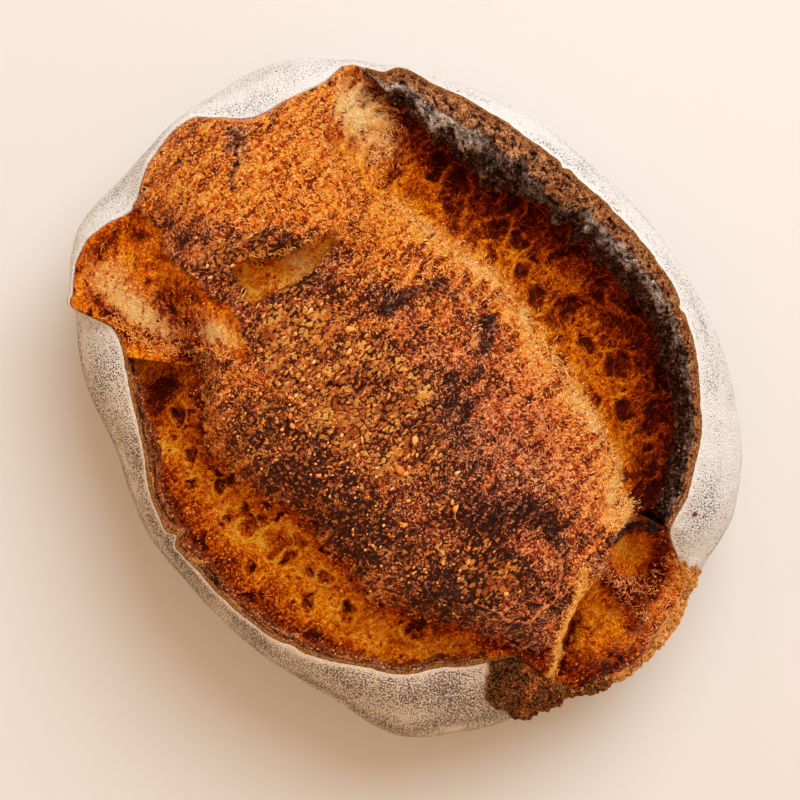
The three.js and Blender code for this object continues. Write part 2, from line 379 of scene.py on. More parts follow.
def side_crust():
    """The floured wall, from the foot to just over its torn edge."""
    degrees = np.arange(WALL_COLUMNS) * 360 / WALL_COLUMNS
    widest, (edge, edge_height) = outline(degrees), edge_line(degrees)
    foot = outline(degrees, FOOT_SWELL) - FOOT_INSET
    low_rows = WALL_ROWS // 3
    low = np.linspace(0, 1, low_rows, endpoint=False)[:, None] * math.pi / 2
    high = np.linspace(0, 1, WALL_ROWS - low_rows)[:, None] * math.pi / 2
    radius = np.vstack([foot + (widest - foot) * np.sin(low) ** LOW_REACH,
                        edge + (widest - edge) * np.cos(high) ** HIGH_REACH])
    height = np.vstack([WIDEST_LEVEL * (1 - np.cos(low)) ** LOW_LIFT + 0 * widest,
                        WIDEST_LEVEL + (edge_height - WIDEST_LEVEL) * np.sin(high)])
    tuck = np.array([0.5, 1.4])[:, None]
    radius = np.vstack([foot - 6, radius, edge - tuck])
    height = np.vstack([0 * foot + 0.4, height, edge_height - tuck ** 2])
    grid = ring_points(degrees, radius, height)
    v = run_down(grid)
    u = np.broadcast_to(degrees / 360 * ROUND, v.shape)
    from_edge = v[-3] - v
    wander = waves(u, v, 12, 41, ROUND) + 0.5 * waves(u, v, 4, 54, ROUND)
    open_end = step(16.5, 15, np.abs(turn_between(degrees, TORN_END)) + 1.6 * wander)
    torn = open_end * step(30, 35, height + 4 * waves(u, v, 9, 42, ROUND))
    at, spread, lowest = LUMP
    patchy = rough(u, v, 9, 57, 4, ROUND)
    lump = step(1.1, 0.85, np.abs(turn_between(degrees, at)) / spread + 0.6 * patchy)
    level = height + 7 * patchy - 24 * step(338, 329, degrees)
    lump = lump * step(lowest - 2, lowest + 2, level) * (1 - torn)
    scorch = torn * step(354, 347, degrees) * step(332, 340, degrees)
    bands = 0.5 + 0.5 * waves(u / 3, v, 10, 44)
    pits = np.maximum(0, waves(u, v, 2.2, 45, ROUND) - 0.35)
    clear = step(0.6, 3, from_edge)
    crags = rough(u, v, 7, 48, 4, ROUND)
    grains = domes(u + 0.5 * waves(u, v, 2, 55, ROUND), v, 2.4, 49, ROUND)
    relief = (0.8 * rough(u, v, 26, 46, 3, ROUND) + 0.25 * rough(u, v, 5, 47, 3, ROUND)
              - 0.5 * pits * clear * (0.4 + bands))
    relief += torn * (2.2 * crags + 1.3 * grains - 0.6)
    relief += lump * (2.2 + 2.4 * rough(u, v, 8, 50, 3, ROUND) + 1.3 * domes(u, v, 4.6, 58, ROUND)
                      + 0.8 * grains)
    fade = step(0, 6, v) * step(-0.5, 2.5, from_edge)
    grid = push_out(grid, relief * fade, True)
    grid[..., 2] = np.maximum(grid[..., 2], 0.15)
    thin = step(0.1, 0.75, 0.5 * rough(u, v, 22, 51, 3, ROUND) + 0.45 * waves(u, v, 7, 52, ROUND) + 0.1)
    # Painted shade on the shady side: the flour there is thinner, and the floured material makes it warmer
    # and darker.
    shady = step(95, 45, np.abs(turn_between(degrees, SHADY_SIDE)))
    crusted = np.clip(0.55 + 0.45 * crags + 0.4 * (grains - 0.4) - 0.5 * scorch
                      + lump * (0.8 * patchy - 0.05 - 0.45 * step(340, 333, degrees)), 0, 1)
    plain = 0.5 + 0.5 * rough(u, v, 6, 53, 4, ROUND)
    worn = np.clip(bands + 0.5 * rough(u, v, 16, 56, 3, ROUND), 0, 1)
    masks = {"flour": np.clip(1 - (0.22 + 0.16 * shady) * thin * clear - torn - lump, 0, 1), "torn": torn,
             "char": np.clip(lump + 0.75 * scorch, 0, 1), "warmth_and_shade": shady + 0 * u,
             "specks": clear * worn * step(0, 12, height),
             "tone": mix(plain, crusted, np.clip(torn + lump, 0, 1))}
    return make_sheet("side_crust", grid, True, masks, u / ROUND, v)


def base_crust():
    """The flat underside, a little inside the foot of the wall."""
    degrees = np.arange(BASE_COLUMNS) * 360 / BASE_COLUMNS
    share = np.linspace(1, 0.01, BASE_ROWS)[:, None] ** 0.8
    radius = (outline(degrees, FOOT_SWELL) - FOOT_INSET + 0.5) * share
    grid = ring_points(degrees, radius, 0 * radius)
    x, y = grid[..., 0], grid[..., 1]
    relief = 0.35 + 0.3 * rough(x, y, 14, 61) + 0.25 * np.maximum(0, waves(x, y, 3, 62))
    grid[..., 2] = np.clip(relief, 0, 1.2) * step(1, 0.96, share)
    masks = {"flour": np.clip(0.35 + 0.5 * rough(x, y, 20, 63), 0, 1), "char": 0 * x, "torn": 0 * x,
             "warmth_and_shade": 0 * x + 0.6, "specks": 0 * x + 0.8, "tone": 0.5 + 0.5 * rough(x, y, 6, 64)}
    bake_map = 0.5 + np.stack([x, y], -1).reshape(-1, 2) / LENGTH
    faces = grid_faces(BASE_ROWS, BASE_COLUMNS, True)
    return make_piece("base_crust", grid.reshape(-1, 3), faces, masks, bake_map)


# ---- Lifted flaps ----

# First and last angle of each flap.
TALL_FLAP, LOW_RIM = (14, 142.6), (211.2, 343)
# Width of the low rim's torn face, as a share of the face width that the edge has there.
RIM_SHARE = 0.62
# Share of grey ash on the tall flap's char, by angle.
ASH_SHARE = [(14, 0.2), (45, 0.25), (60, 0.5), (66, 1.0), (84, 1.0), (91, 0.35), (104, 0.3), (110, 0.1),
             (119, 0.25), (124, 1.1), (142, 1.1)]
# Lobes that hang inward from the tall flap: angle, half spread, reach.
NORTH_LOBES = [(114.5, 3.4, 6.0), (104, 2.0, 2.5), (95, 1.6, 4.0), (88.5, 1.1, 4.5), (81, 3.0, 2.5),
               (70, 4, 1.5), (52, 6, 2.0), (128, 5, 2.0)]


def flap(start, end, share, seed, lobes, brow_lift, undercut):
    """The inner side of a lifted flap: thin edge, top of the torn crust, ragged drop and underside."""
    degrees = np.linspace(start, end, int((end - start) / 360 * ROUND / FLAP_PITCH * 0.93))
    place = degrees / 360 * ROUND
    edge, edge_height = edge_line(degrees)
    width = around(FACE_WIDTH, degrees) * share * (0.25 + 0.75 * step(end, end - 5, degrees))
    ragged = 1.4 * waves(place, 0 * place, 13, seed) + 1.2 * waves(place, 0 * place, 4.5, seed + 1)
    ragged += 0.8 * waves(place, 0 * place, 1.8, seed + 2)
    strength = np.clip(width / 10, 0.25, 1.4)
    brow = edge - width + ragged * strength - bumps(degrees, lobes)
    floor = top_height(*(ring_points(degrees, brow, 0 * brow)[..., :2].T))
    brow_height = np.minimum(floor + brow_lift * strength + 0.6 * ragged, edge_height - 2)
    drop = edge_height - brow_height
    controls = np.stack([
        np.stack([edge + 0.5, edge_height - 2.2], -1),
        np.stack([edge + 0.35, edge_height - 0.3], -1),
        np.stack([edge - 0.6, edge_height + 0.3], -1),
        np.stack([edge - 1.3, edge_height - 0.5], -1),
        np.stack([mix(edge, brow, 0.42), edge_height - 0.6 - 0.14 * drop], -1),
        np.stack([mix(edge, brow, 0.72), edge_height - 0.38 * drop], -1),
        np.stack([mix(edge, brow, 0.93), edge_height - 0.75 * drop], -1),
        np.stack([brow, brow_height], -1),
        np.stack([brow + undercut * strength, brow_height - 2.6], -1),
        np.stack([brow + undercut * strength, floor - 3], -1),
    ])
    profile = spread_curve(controls, int(34 / FLAP_PITCH) + 1)
    grid = ring_points(degrees, profile[..., 0], profile[..., 1])
    v = run_down(grid)
    u = np.broadcast_to(place, v.shape)
    across = np.linspace(0, len(controls) - 1, len(profile))[:, None] + 0 * u
    return grid, u, v, across, np.broadcast_to(degrees, v.shape)


def north_flap():
    """The tall flap: smooth edge line, porous torn band, ashy crags, black drop."""
    start, end = TALL_FLAP
    grid, u, v, across, degrees = flap(start, end, 1.0, 201, NORTH_LOBES, 5.0, 4.0)
    bend = 0.8 * waves(u, v, 3, 210)
    spongy = waves(u / 1.7 + bend, v * 1.4, 1.9, 211) + 0.7 * waves(u / 1.4 + bend, v * 1.3, 1.0, 212)
    pores = step(0.2, 0.6, spongy + 0.4 * rough(u, v, 9, 219, 3)) * step(2.9, 3.3, across)
    tall_side = step(60, 96, degrees)
    band = 3.65 + 0.35 * tall_side + 0.6 * rough(u / 2, v, 7, 214, 3)
    band = band + 1.5 * step(9, 3, np.abs(degrees - 99)) * (0.8 + rough(u, v, 6, 220, 2))
    char = step(-0.2, 0.25, across - band)
    ash_end = band + 0.6 + 0.65 * tall_side + 1.1 * rough(u, v, 8, 218, 3)
    face = step(2.6, 3.3, across)
    crags = rough(u + bend, v, 5.5, 215, 4)
    sharp = 1 - np.abs(waves(u + bend, v, 2.4, 216))
    relief = face * (0.9 * crags * char + 0.3 * rough(u, v, 4, 213, 3) + char * (1.0 * sharp ** 2 - 0.5))
    relief -= 0.7 * pores * (1 - char)
    relief += 0.15 * waves(u / 3, v * 3, 2.5, 217) * step(1, 2, across)
    ends = step(start, 17, degrees) * step(end, 139, degrees)
    grid = push_out(grid, relief * (0.25 + 0.75 * ends), False)
    ash = char * step(0.35, -0.35, across - ash_end) * step(-0.5, 0.3, crags + 0.8 * (sharp - 0.6))
    ash *= along(ASH_SHARE, degrees)
    # Lighter tone on crags and sharp ridges is painted highlight; the pores carry painted shade, and the
    # dark red under the drop is partly painted overhang shadow.
    masks = {"char": char, "warmth_and_shade": 0 * char, "ash": np.clip(ash, 0, 1), "pores": pores,
             "edge": step(2.3, 2.0, across + 0.15 * crags),
             "tone": np.clip(0.58 + 0.4 * crags + 0.45 * (sharp - 0.65) - 0.3 * pores, 0, 1),
             "under": step(6.4, 7.4, across + 0.7 * crags)}
    piece = make_sheet("north_flap", grid, False, masks, u / ROUND * 2, v)
    return piece, {"points": grid, "across": across, "char": char, "ash": ash}


def south_rim():
    """The low rim: smooth edge line over thin toasted layers."""
    grid, u, v, across, _ = flap(*LOW_RIM, RIM_SHARE, 231, (), 1.0, 0.6)
    layers = waves(u / 8, v * 1.3, 1.7, 232) + 0.6 * waves(u / 4, v * 1.6, 1.0, 233)
    grains = domes(u, v, 1.5, 238)
    inner = step(4.4, 5.8, across + 1.1 * rough(u, v, 9, 234, 3))
    face = step(2.4, 3.3, across)
    crags = rough(u, v, 3.2, 235, 4)
    relief = face * (0.4 * layers * (1 - inner) + 0.6 * crags + inner * (0.7 * grains + 0.5 * crags))
    grid = push_out(grid, relief, False)
    # Pores between the layers are painted dark: painted shade in the grooves.
    masks = {"char": 0 * u, "warmth_and_shade": 0 * u + 1, "ash": 0 * u, "edge": step(3.0, 2.5, across + 0.15 * crags),
             "pores": step(0.15, 0.7, -layers - 0.5 * crags) * (1 - inner) * face,
             "tone": np.clip(0.36 + 0.5 * layers * (1 - inner) + 0.24 * crags
                             + 0.3 * inner * (grains - 0.4), 0, 1),
             "under": inner * 0.85}
    piece = make_sheet("south_rim", grid, False, masks, u / ROUND * 2 - 1, v)
    return piece, {"points": grid, "across": across, "char": inner, "ash": 0 * u}


# ---- Open top ----

# Half length and half width of the height field.
TOP_REACH = (131, 108)
# Where the crust is cut in two along the loaf, and the crumb in two across it.
CRUST_CUT, CRUMB_CUT = -38, 14
# Lines across the top: x, y.
PLATE_EDGE = [(-116, -22), (-108, -20), (-95, -24), (-77, -25), (-64, -22), (-56, -25), (-46, -31)]
POCKET_RIDGE = [(-112, -56), (-93, -53), (-84, -52), (-76, -49), (-65, -40), (-54, -35), (-46, -31)]
CRUMB_BANK = [(-108, 74), (-101, 69), (-91, 56), (-85, 44), (-71, 43), (-59, 40), (-49, 45), (-28, 47),
              (-13, 51), (-2, 49), (17, 46), (40, 43), (59, 38), (72, 31), (84, 24), (96, 20)]
BAND_TOP = [(-116, -25), (-112, -20), (-93, -5), (-80, 2), (-64, 10), (-50, 21)]
# Ovals: x, y, half length, half width, turn, and an amount where it has one.
TEAR = [(-59.5, 2, 19, 4.4, 80), (-67, -7, 8, 4.5, 40)]
FLAKE_ZONES = [(-16, -13, 42, 23, -2, 1.25), (60, -24, 26, 15, 10, 0.75), (-74, -13, 22, 8, 12, 0.8),
               (-70, 3, 16, 7, 55, 0.7)]
DOT_ZONES = [(-14, -42, 34, 15, 0, 1.0), (40, -40, 30, 12, 0, 0.7)]
# Spots by what they do to the crust, and the cream ones to the crumb: the same six values.
DARK_SPOTS = [(-27, 18.5, 7, 5.5, 30, 0.4), (-20, 36, 7, 2.5, -30, 0.22), (0, 36, 9, 4, -40, 0.22),
              (14, 10, 14, 7, -20, 0.27), (61, 4, 8, 6, 0, 0.3), (67, -34, 8, 5, -30, 0.28),
              (16, -44, 50, 12, 0, 0.34), (58, -18, 18, 15, 0, 0.2), (40, -40, 24, 10, 0, 0.08),
              (-104.5, 20.5, 6, 4.2, -50, 0.26), (84, -20, 5, 16, -20, 0.22), (50, -16, 24, 18, 0, 0.2),
              (-24, -50, 40, 6, 0, 0.16), (20, -8, 16, 9, 0, 0.08), (-10, -8, 44, 26, 0, 0.15),
              (-58, 24, 10, 3, 40, 0.12)]
# The pale spots on the north bank's edge are partly painted highlight on that edge.
PALE_SPOTS = [(-96.6, -1, 3.2, 2.4, 0, 0.16), (-93, 48, 12, 11, 0, 0.16), (-15, 48, 9, 4, -10, 0.16),
              (9, 48, 9, 4, -20, 0.16), (48, 38, 12, 5, -35, 0.16), (77, 23, 9, 6, -40, 0.2),
              (-60, 34, 30, 14, 20, 0.16), (-95, 10, 22, 18, 0, 0.15), (-82, -12, 14, 9, 0, 0.12),
              (-48, 34, 14, 8, 20, 0.08), (-50, -36, 12, 14, -40, 0.12), (34, 18, 9, 9, 0, 0.1),
              (-40, -52, 12, 8, -30, 0.14), (40, 26, 30, 10, -20, 0.1)]
GREY_SPOTS = [(14, 8, 20, 10, -15, 0.8), (0, 34, 10, 5, -30, 0.7), (-27, 18.5, 8, 6, 20, 0.9),
              (30, -6, 20, 12, 0, 0.35), (50, 10, 20, 14, 0, 0.5), (56, -38, 8, 7, 0, 0.25),
              (-104.5, 20.5, 6, 4.2, -50, 1.2)]
RED_SPOTS = [(30, -44, 44, 13, 0, 0.4), (58, -18, 20, 16, 0, 0.6), (20, -20, 74, 32, 0, 0.75),
             (30, 20, 46, 24, -15, 0.75), (-10, 16, 9, 7, 0, 0.4), (80, -20, 20, 22, 0, 0.6),
             (-10, -44, 40, 12, 0, 0.3), (-31, -40, 14, 10, 0, -0.5)]
CREAM_CRUMB = [(-81.5, 59.5, 12, 9, -10, 1.4), (-86, -46, 17, 5.5, 10, 0.9), (-64, -33, 9, 4, 20, 0.8),
               (-104, -45, 7, 6, -20, 0.4), (-59, 6, 3.5, 8, 70, 0.7), (83.5, 21, 4.5, 3, 60, 1.3)]
# Cream patches on the north bank's crust edge: pale frizz, partly a painted highlight on that edge.
CREAM_EDGE = [(-15, 49, 8, 2.8, -5, 1.2), (7, 48.5, 8, 2.8, -15, 1.2), (47, 39.5, 11, 3, -22, 1.2),
              (74, 27, 9, 3.6, -45, 1.2), (-36, 46, 6, 1.8, 10, 0.6), (27, 44.5, 5, 1.8, -12, 0.6)]
# Ovals of the torn crumb, with two amounts: darker, redder.
CRUMB_SPOTS = [(-106.5, -27, 3.6, 2.0, 50, 0.6, 0.6), (-114, -40, 3, 11, -14, 0.24, 0.7),
               (-69.5, -4, 3.5, 2.2, 50, 0.4, 0.6), (-63, -61, 8, 5, -70, 0.8, 1.0),
               (-61, -72, 9, 5, -55, 0.3, 0.8), (106.5, 12, 4, 10, 10, 0.22, 0.6),
               (99, -16, 3, 2.4, 0, 0.35, 0.5), (101, -22, 2.4, 2, 0, 0.35, 0.5),
               (95, -10, 3, 8, -10, 0.12, 0), (121, -24, 5, 18, 20, 0.36, 0.8),
               (104, 10, 12, 8, 0, 0.1, 0.4), (-20, -74, 30, 5, 0, -0.12, -0.2),
               (20, -68, 40, 9, 0, -0.12, -0.4), (-30, -66, 30, 8, 0, 0, -0.3),
               (97, 16, 8, 6, 30, -0.16, 0)]
# Big hollows of the crumb: x, y, reach, depth.
HOLLOWS = [(-39, -69, 2.6, 1.6), (-24.4, -70, 2.8, 1.8), (-12.2, -70, 2.8, 1.6), (3.7, -69.3, 5.0, 2.4),
           (11, -71, 3.0, 1.6), (24, -67, 2.6, 1.4), (38.7, -70, 3.2, 1.8), (60, -56, 4.0, 2.0),
           (-54, -62, 3.2, 2.0), (-51, 64, 4.0, 1.6), (-37, 58, 3.6, 1.4), (-20, 65, 4.4, 1.8),
           (-11, 66, 3.4, 1.6), (18, 64, 4.6, 2.0), (-2, 59, 3.4, 1.4), (45, 60, 4.4, 2.0),
           (31, 58, 3.4, 1.6), (57, 50, 3.4, 1.6)]
# Crumbs that stick to the wall: x, y, size, tone, hue of crumb.
WALL_CRUMBS = [(-74.5, 87.6, 1.9, 0.9, 0.6), (100.1, 41.4, 1.1, -0.1, 0.0)]
# Big flakes: x, y, rough length and width, turn.
BIG_FLAKES = [(16, -20, 4.5, 2.2, -45), (12.3, -9.3, 3.2, 1.8, -50), (38, -15.5, 3.5, 1.6, -30),
              (-21, -35.5, 2.2, 1.6, 0), (-2.6, -41, 2, 1.4, 0), (-30, 2, 3.5, 1.6, 60),
              (-74, -8, 3.5, 1.4, 60)]
# Blisters: x, y, half length, half width, turn, rise.
BLISTERS = [(33, 19, 10, 8.5, 0, 0.7), (57, -37, 7, 5, 20, 0.9), (72, -10, 20, 12, 60, 0.6),
            (-96.6, -1, 3.4, 2.6, 0, 0.5)]
# Folds and creases: points, half width, rise, darker, greyer, redder. On a crease, with a rise below 0, the
# darker amount is painted shade.
FOLDS = [
    ([(-109.5, 20), (-103.3, 19.2), (-98.8, 13.7), (-93, 7)], 1.3, -0.9, 0.2, 0.6, 0.3),
    ([(-108, 22), (-104.5, 16), (-101, 15)], 0.8, 0.5, 0.16, 0.6, 0.2),
    ([(-104, -54), (-93, -54), (-86, -55), (-80, -51), (-74, -47), (-64, -39), (-52, -35)],
     2.2, 3.4, 0.5, 0, 1.2),
    ([(-79, -8), (-74, 0), (-67, 8), (-60, 15)], 2.0, 1.8, 0.2, 0, 0.5),
    ([(-60, -11), (-48, 9), (-38, 15), (-32, 19)], 1.4, 0.9, 0.22, 0, 0.5),
    ([(-27, 16), (-25, 24), (-20, 34), (-11, 36)], 1.6, 1.6, 0.3, 0.7, 0.2),
    ([(-4, 36), (2, 38), (6, 31), (11, 22)], 1.8, 1.3, 0.26, 0.8, 0.3),
    ([(45, -15), (53, 0), (64, 3), (75, -1)], 2.2, 1.4, 0.34, 0.8, 0.3),
    ([(75, -1), (84, -12), (85, -24), (78, -31), (66, -34)], 0.7, 1.2, -0.1, 0, 0.3),
    ([(48, -40), (54, -44), (62, -42), (66, -36)], 1.0, 1.3, 0.1, 0.7, 0.4),
    ([(90, -28), (96, -32), (100, -38), (98, -44)], 2.0, 1.6, 0.3, 0.2, 0.5),
    ([(30, 12), (27, 20), (32, 27), (40, 27)], 0.8, 0.7, 0.14, 0, 0.6),
    ([(-42, -30), (-24, -20), (-8, -2)], 0.9, -0.8, 0.2, 0, 0.7),
    ([(-90, 44), (-70, 34), (-56, 33)], 1.2, 0.8, 0.1, 0, 0.4),
    # torn end: lip of the pocket, its wall, the ridge beside it, the crevice behind the crust end
    ([(85, 14), (87.5, 20), (91, 25.5), (95, 30)], 1.0, 3.4, 0.7, 1.0, 0.2),
    ([(99, 27), (104, 23), (109, 18), (112, 12)], 2.2, 2.2, 0.34, 0, 0.9),
    ([(86, 3.5), (95, 4), (103, 5.6), (110, 5), (114, 2)], 3.0, 3.0, 0.2, 0.2, 0.9),
    ([(92, -4), (95, -11), (99, -17), (103, -23), (108, -29)], 2.3, -3.6, 0.1, 0, 0),
]


def far_from(x, y, points):
    """Distance to a line through points."""
    far = np.full_like(x, 1e3)
    for (ax, ay), (bx, by) in zip(points[:-1], points[1:]):
        run_x, run_y = bx - ax, by - ay
        t = np.clip(((x - ax) * run_x + (y - ay) * run_y) / (run_x ** 2 + run_y ** 2), 0, 1)
        far = np.minimum(far, np.hypot(x - ax - t * run_x, y - ay - t * run_y))
    return far


def fold_lines(x, y):
    """Rise, darkness, greyness and redness of the folds and creases."""
    totals = [np.zeros_like(x) for _ in range(4)]
    bend_x, bend_y = x + 1.2 * waves(x, y, 6, 150), y + 1.2 * waves(x, y, 6, 151)
    fray = 1 + 0.5 * waves(x, y, 2.2, 152)
    for points, wide, *amounts in FOLDS:
        near = np.exp(-(far_from(bend_x, bend_y, points) / wide) ** 2) * fray
        for total, amount in zip(totals, amounts):
            total += near * amount
    return totals


def paint(spots, x, y, amount=5):
    """All spots of a list together, by the amount that stands in the given place."""
    return sum(spot[amount] * mound(x, y, *spot[:5]) for spot in spots)


def alveoli(x, y, size, seed, share):
    """Round hollows in a share of the cells: how deep each point lies, and how near it is to a rim."""
    near, _, own = cells(x, y, size, seed)
    reach = 0.24 + 0.26 * (own * 7.3 % 1)
    opened = own < share
    return opened * step(1.3, 0.0, near / reach), opened * np.exp(-((near / reach - 1.15) / 0.2) ** 2)


def crumb_surface(x, y, north, south, pocket):
    """Relief of torn crumb, and how hollow and how ridged it is at each point."""
    bend_x = x + 2.4 * waves(x, y, 8, 110) + 0.8 * waves(x, y, 3, 112)
    bend_y = y + 2.4 * waves(x, y, 8, 111) + 0.8 * waves(x, y, 3, 113)
    web = 1 - np.abs(waves(bend_x, bend_y / 1.4, 9, 115))
    fine_web = 1 - np.abs(waves(bend_x, bend_y / 1.2, 3.6, 119))
    hole, hole_rim = alveoli(bend_x, bend_y / 1.15, 8.5, 114, 0.34)
    other, _ = alveoli(bend_x + 30, bend_y, 5.2, 117, 0.2)
    hole = np.maximum(hole, 0.8 * other)
    small, small_rim = alveoli(bend_x, bend_y / 1.2, 2.6, 118, 0.2)
    aslant, upward = (x + y) * 0.707, (y - x) * 0.707
    fibres = waves(x, y / 3.4, 1.3, 120) + 0.6 * waves(bend_x, bend_y / 2.4, 2.4, 121)
    aslant = aslant + 1.2 * waves(x, y, 5, 129)
    pocket_fibres = (0.8 * waves(aslant, upward / 2.6, 1.6, 124)
                     + 1.1 * waves(aslant, upward / 2.2, 3.4, 125))
    fibres = mix(fibres, 1.7 * pocket_fibres, pocket)
    swell = rough(x, y, 13, 122, 3)
    round_holes = mix(0.45, 1, south) * (1 - 0.8 * north) * (1 - pocket)
    sunk = north * step(0.85, 0.45, web) * step(-0.7, 0.5, waves(x, y, 17, 156))
    relief = (2.6 * swell + north * (1.3 * web ** 2 - 1.2 * sunk)
              + 0.55 * (fine_web - 0.6) * (1 - 0.6 * pocket)
              - 2.2 * hole * round_holes - 0.5 * small * (1 - pocket) + 0.3 * hole_rim * round_holes
              + 0.25 * fibres + 0.3 * (1 - np.abs(waves(bend_x, bend_y, 1.5, 123))))
    slots = pocket * step(0.45, 1.1, -pocket_fibres) * step(-28, -36, y)
    big = 0 * x
    for at_x, at_y, reach, depth in HOLLOWS:
        out = np.hypot(bend_x - at_x, (bend_y - at_y) / 1.2) / reach
        inside = step(1.15, 0.35, out)
        big = np.maximum(big, inside)
        relief += 0.5 * np.exp(-((out - 1.2) / 0.25) ** 2) - depth * inside
    hollow = np.maximum.reduce([big, 0.6 * sunk, 0.85 * hole * round_holes, 0.5 * small * (1 - pocket),
                                0.7 * slots])
    ridge = (0.35 * swell + 0.3 * (hole_rim * round_holes + small_rim) + 0.22 * fibres
             + 0.5 * (fine_web - 0.6) + north * 0.4 * (web - 0.6))
    return relief, hollow, ridge


def crust_surface(x, y, flakes, dots):
    """Relief of risen crust, how curled its skin is, and how deep in a flake each point lies."""
    sway_x, sway_y = waves(x, y, 3.4, 130), waves(x, y, 3.4, 132)
    bend_x, bend_y = x + 0.9 * sway_x, y + 0.9 * sway_y
    ripples = waves(x + 1.5 * waves(x, y, 12, 126), y / 4.5, 2.4, 127)
    curls = 1 - np.abs(waves(bend_x, bend_y / 1.6, 2.9, 133))
    fine_curls = 1 - np.abs(waves(bend_x, bend_y / 1.4, 1.6, 134))
    lean = x + 0.6 * sway_x + 2.5 * waves(x, y, 22, 149)
    near, second, own = cells(lean, (y + 0.8 * sway_y) / 2.0, 1.5, 131)
    dot_near, dot_second, dot_own = cells(bend_x, bend_y / 1.2, 1.9, 135)
    dotted = dots > flakes
    inward = np.where(dotted, dot_second - dot_near, second - near)
    tint = np.where(dotted, dot_own, own) * 7.3 % 1
    skin = 0.75 * curls + 0.4 * fine_curls + 0.3 * waves(x, y, 0.95, 138)
    zone = np.maximum(flakes, 0.75 * dots) * (0.9 + 0.5 * rough(x, y / 1.6, 9, 148, 2))
    plates = step(0.9 - 0.85 * zone, 1.2 - 0.85 * zone, inward + 0.3 * waves(x, y, 1.4, 136))
    relief = (1.5 * rough(x, y, 18, 137, 3) + 0.35 * ripples + 0.4 * rough(x, y, 4.2, 128, 2)
              + skin * (1 - 0.6 * zone) + zone * plates * (0.12 + 0.2 * tint))
    for at_x, at_y, long, wide, turn, rise in BLISTERS:
        forward, aside = turned(x, y, at_x, at_y, turn)
        out = np.hypot(forward / long, aside / wide)
        out = out + 0.16 * waves(x, y, 9, 139) + 0.07 * waves(x, y, 3, 146)
        broken = step(-0.5, 0.4, waves(x, y, 11, 147))
        rim, moat = (np.exp(-((out - at) / 0.06) ** 2) for at in (1, 1.13))
        relief += rise * (step(1.1, 0.7, out) * 0.7 + broken * (0.7 * rim - 0.6 * moat))
    tint = np.clip(0.25 + 0.5 * tint + 0.35 * rough(x, y / 1.5, 9, 158, 2), 0, 1)
    return relief, curls, plates * np.clip(zone, 0, 1) ** 0.5, tint


# Curled bits along torn lines: points, half width, bits per millimetre, length, tone, hue of crumb, of ash.
CURL_LINES = [
    ([(84, 1), (88.7, -5.5), (92.4, -12.2), (95.2, -19), (99, -24.7), (103.7, -28.5), (106.5, -35),
      (108.5, -41)],
     0.8, 12, (1.2, 3), 0.95, 0.5, 0),
    ([(87, 3.3), (92, 5.1), (96.7, 6.3), (102.2, 8.8), (108.2, 11.8), (110.2, 15.8)],
     2.0, 6, (0.9, 2.4), 0.66, 0, 0.1),
    ([(98.2, 5.3), (102.2, 3.3), (106.7, 1.8), (111.8, 2.8), (116.3, 4.3)],
     1.8, 5, (0.9, 2.4), 0.66, 0, 0.1),
    ([(106, 24), (110.8, 27.3), (116.2, 30.1)], 1.6, 8, (1, 2.6), 0.8, 0, 0),
    ([(113.6, 24.8), (118.5, 11.8), (122.8, 3.4), (126, -5)], 2.2, 8, (1, 2.6), 0.8, 0, 0),
    ([(85.4, 15.3), (86, 18.3), (87, 21.3), (89.2, 25.1), (91.7, 28.1), (97, 26.8)],
     0.7, 7, (1.5, 3), 0.25, 0, 1),
    ([(80.4, 18.3), (80.7, 22.6), (82.2, 26.1), (82.9, 28.3)], 1.8, 12, (1, 3), 1.0, 0.3, 0),
    ([(-94, -54.9), (-86, -53.9), (-77.7, -52.1), (-71.9, -47.9), (-66.4, -43.4), (-59.4, -37.8),
      (-51.8, -32.8)],
     1.3, 6, (1, 2.6), 0.8, 0.4, 0),
    ([(-65.5, -18), (-62, -10.7), (-58, -3.2), (-56, 7.2), (-55.6, 16.6)],
     0.8, 2.5, (1.5, 4), 0.95, 0.7, 0),
    ([(-72.2, -6.2), (-68.3, -0.3), (-61.6, 7.9), (-59.9, 17)], 0.8, 2, (1.5, 4), 0.9, 0.7, 0),
    ([(-66, 44), (-57, 43), (-47, 45), (-28, 48), (-13, 51), (-2, 50), (17, 47)],
     1.8, 5, (0.8, 2.2), 0.95, 0.3, 0),
    ([(17, 47), (40, 43), (59, 38), (72, 31), (84, 24)], 1.8, 6, (0.8, 2.2), 1.0, 0.3, 0),
    ([(-80, 65), (-72, 58), (-66, 50)], 3.5, 10, (1.2, 3.5), 1.0, 0.2, 0),
]


class Ground:
    """A height field with its masks, to lay loose bits on."""

    def __init__(self, xs, ys, layers):
        self.corner, self.pitch, self.layers = (xs[0], ys[0]), xs[1] - xs[0], layers

    def at(self, name, x, y):
        field = self.layers[name]
        u = np.clip((x - self.corner[0]) / self.pitch, 0, field.shape[1] - 1.001)
        v = np.clip((y - self.corner[1]) / self.pitch, 0, field.shape[0] - 1.001)
        i, j = u.astype(int), v.astype(int)
        low = mix(field[j, i], field[j, i + 1], u - i)
        return mix(low, mix(field[j + 1, i], field[j + 1, i + 1], u - i), v - j)

    def there(self, x, y):
        """Looks up layers by name at some places."""
        return lambda name: self.at(name, x, y)


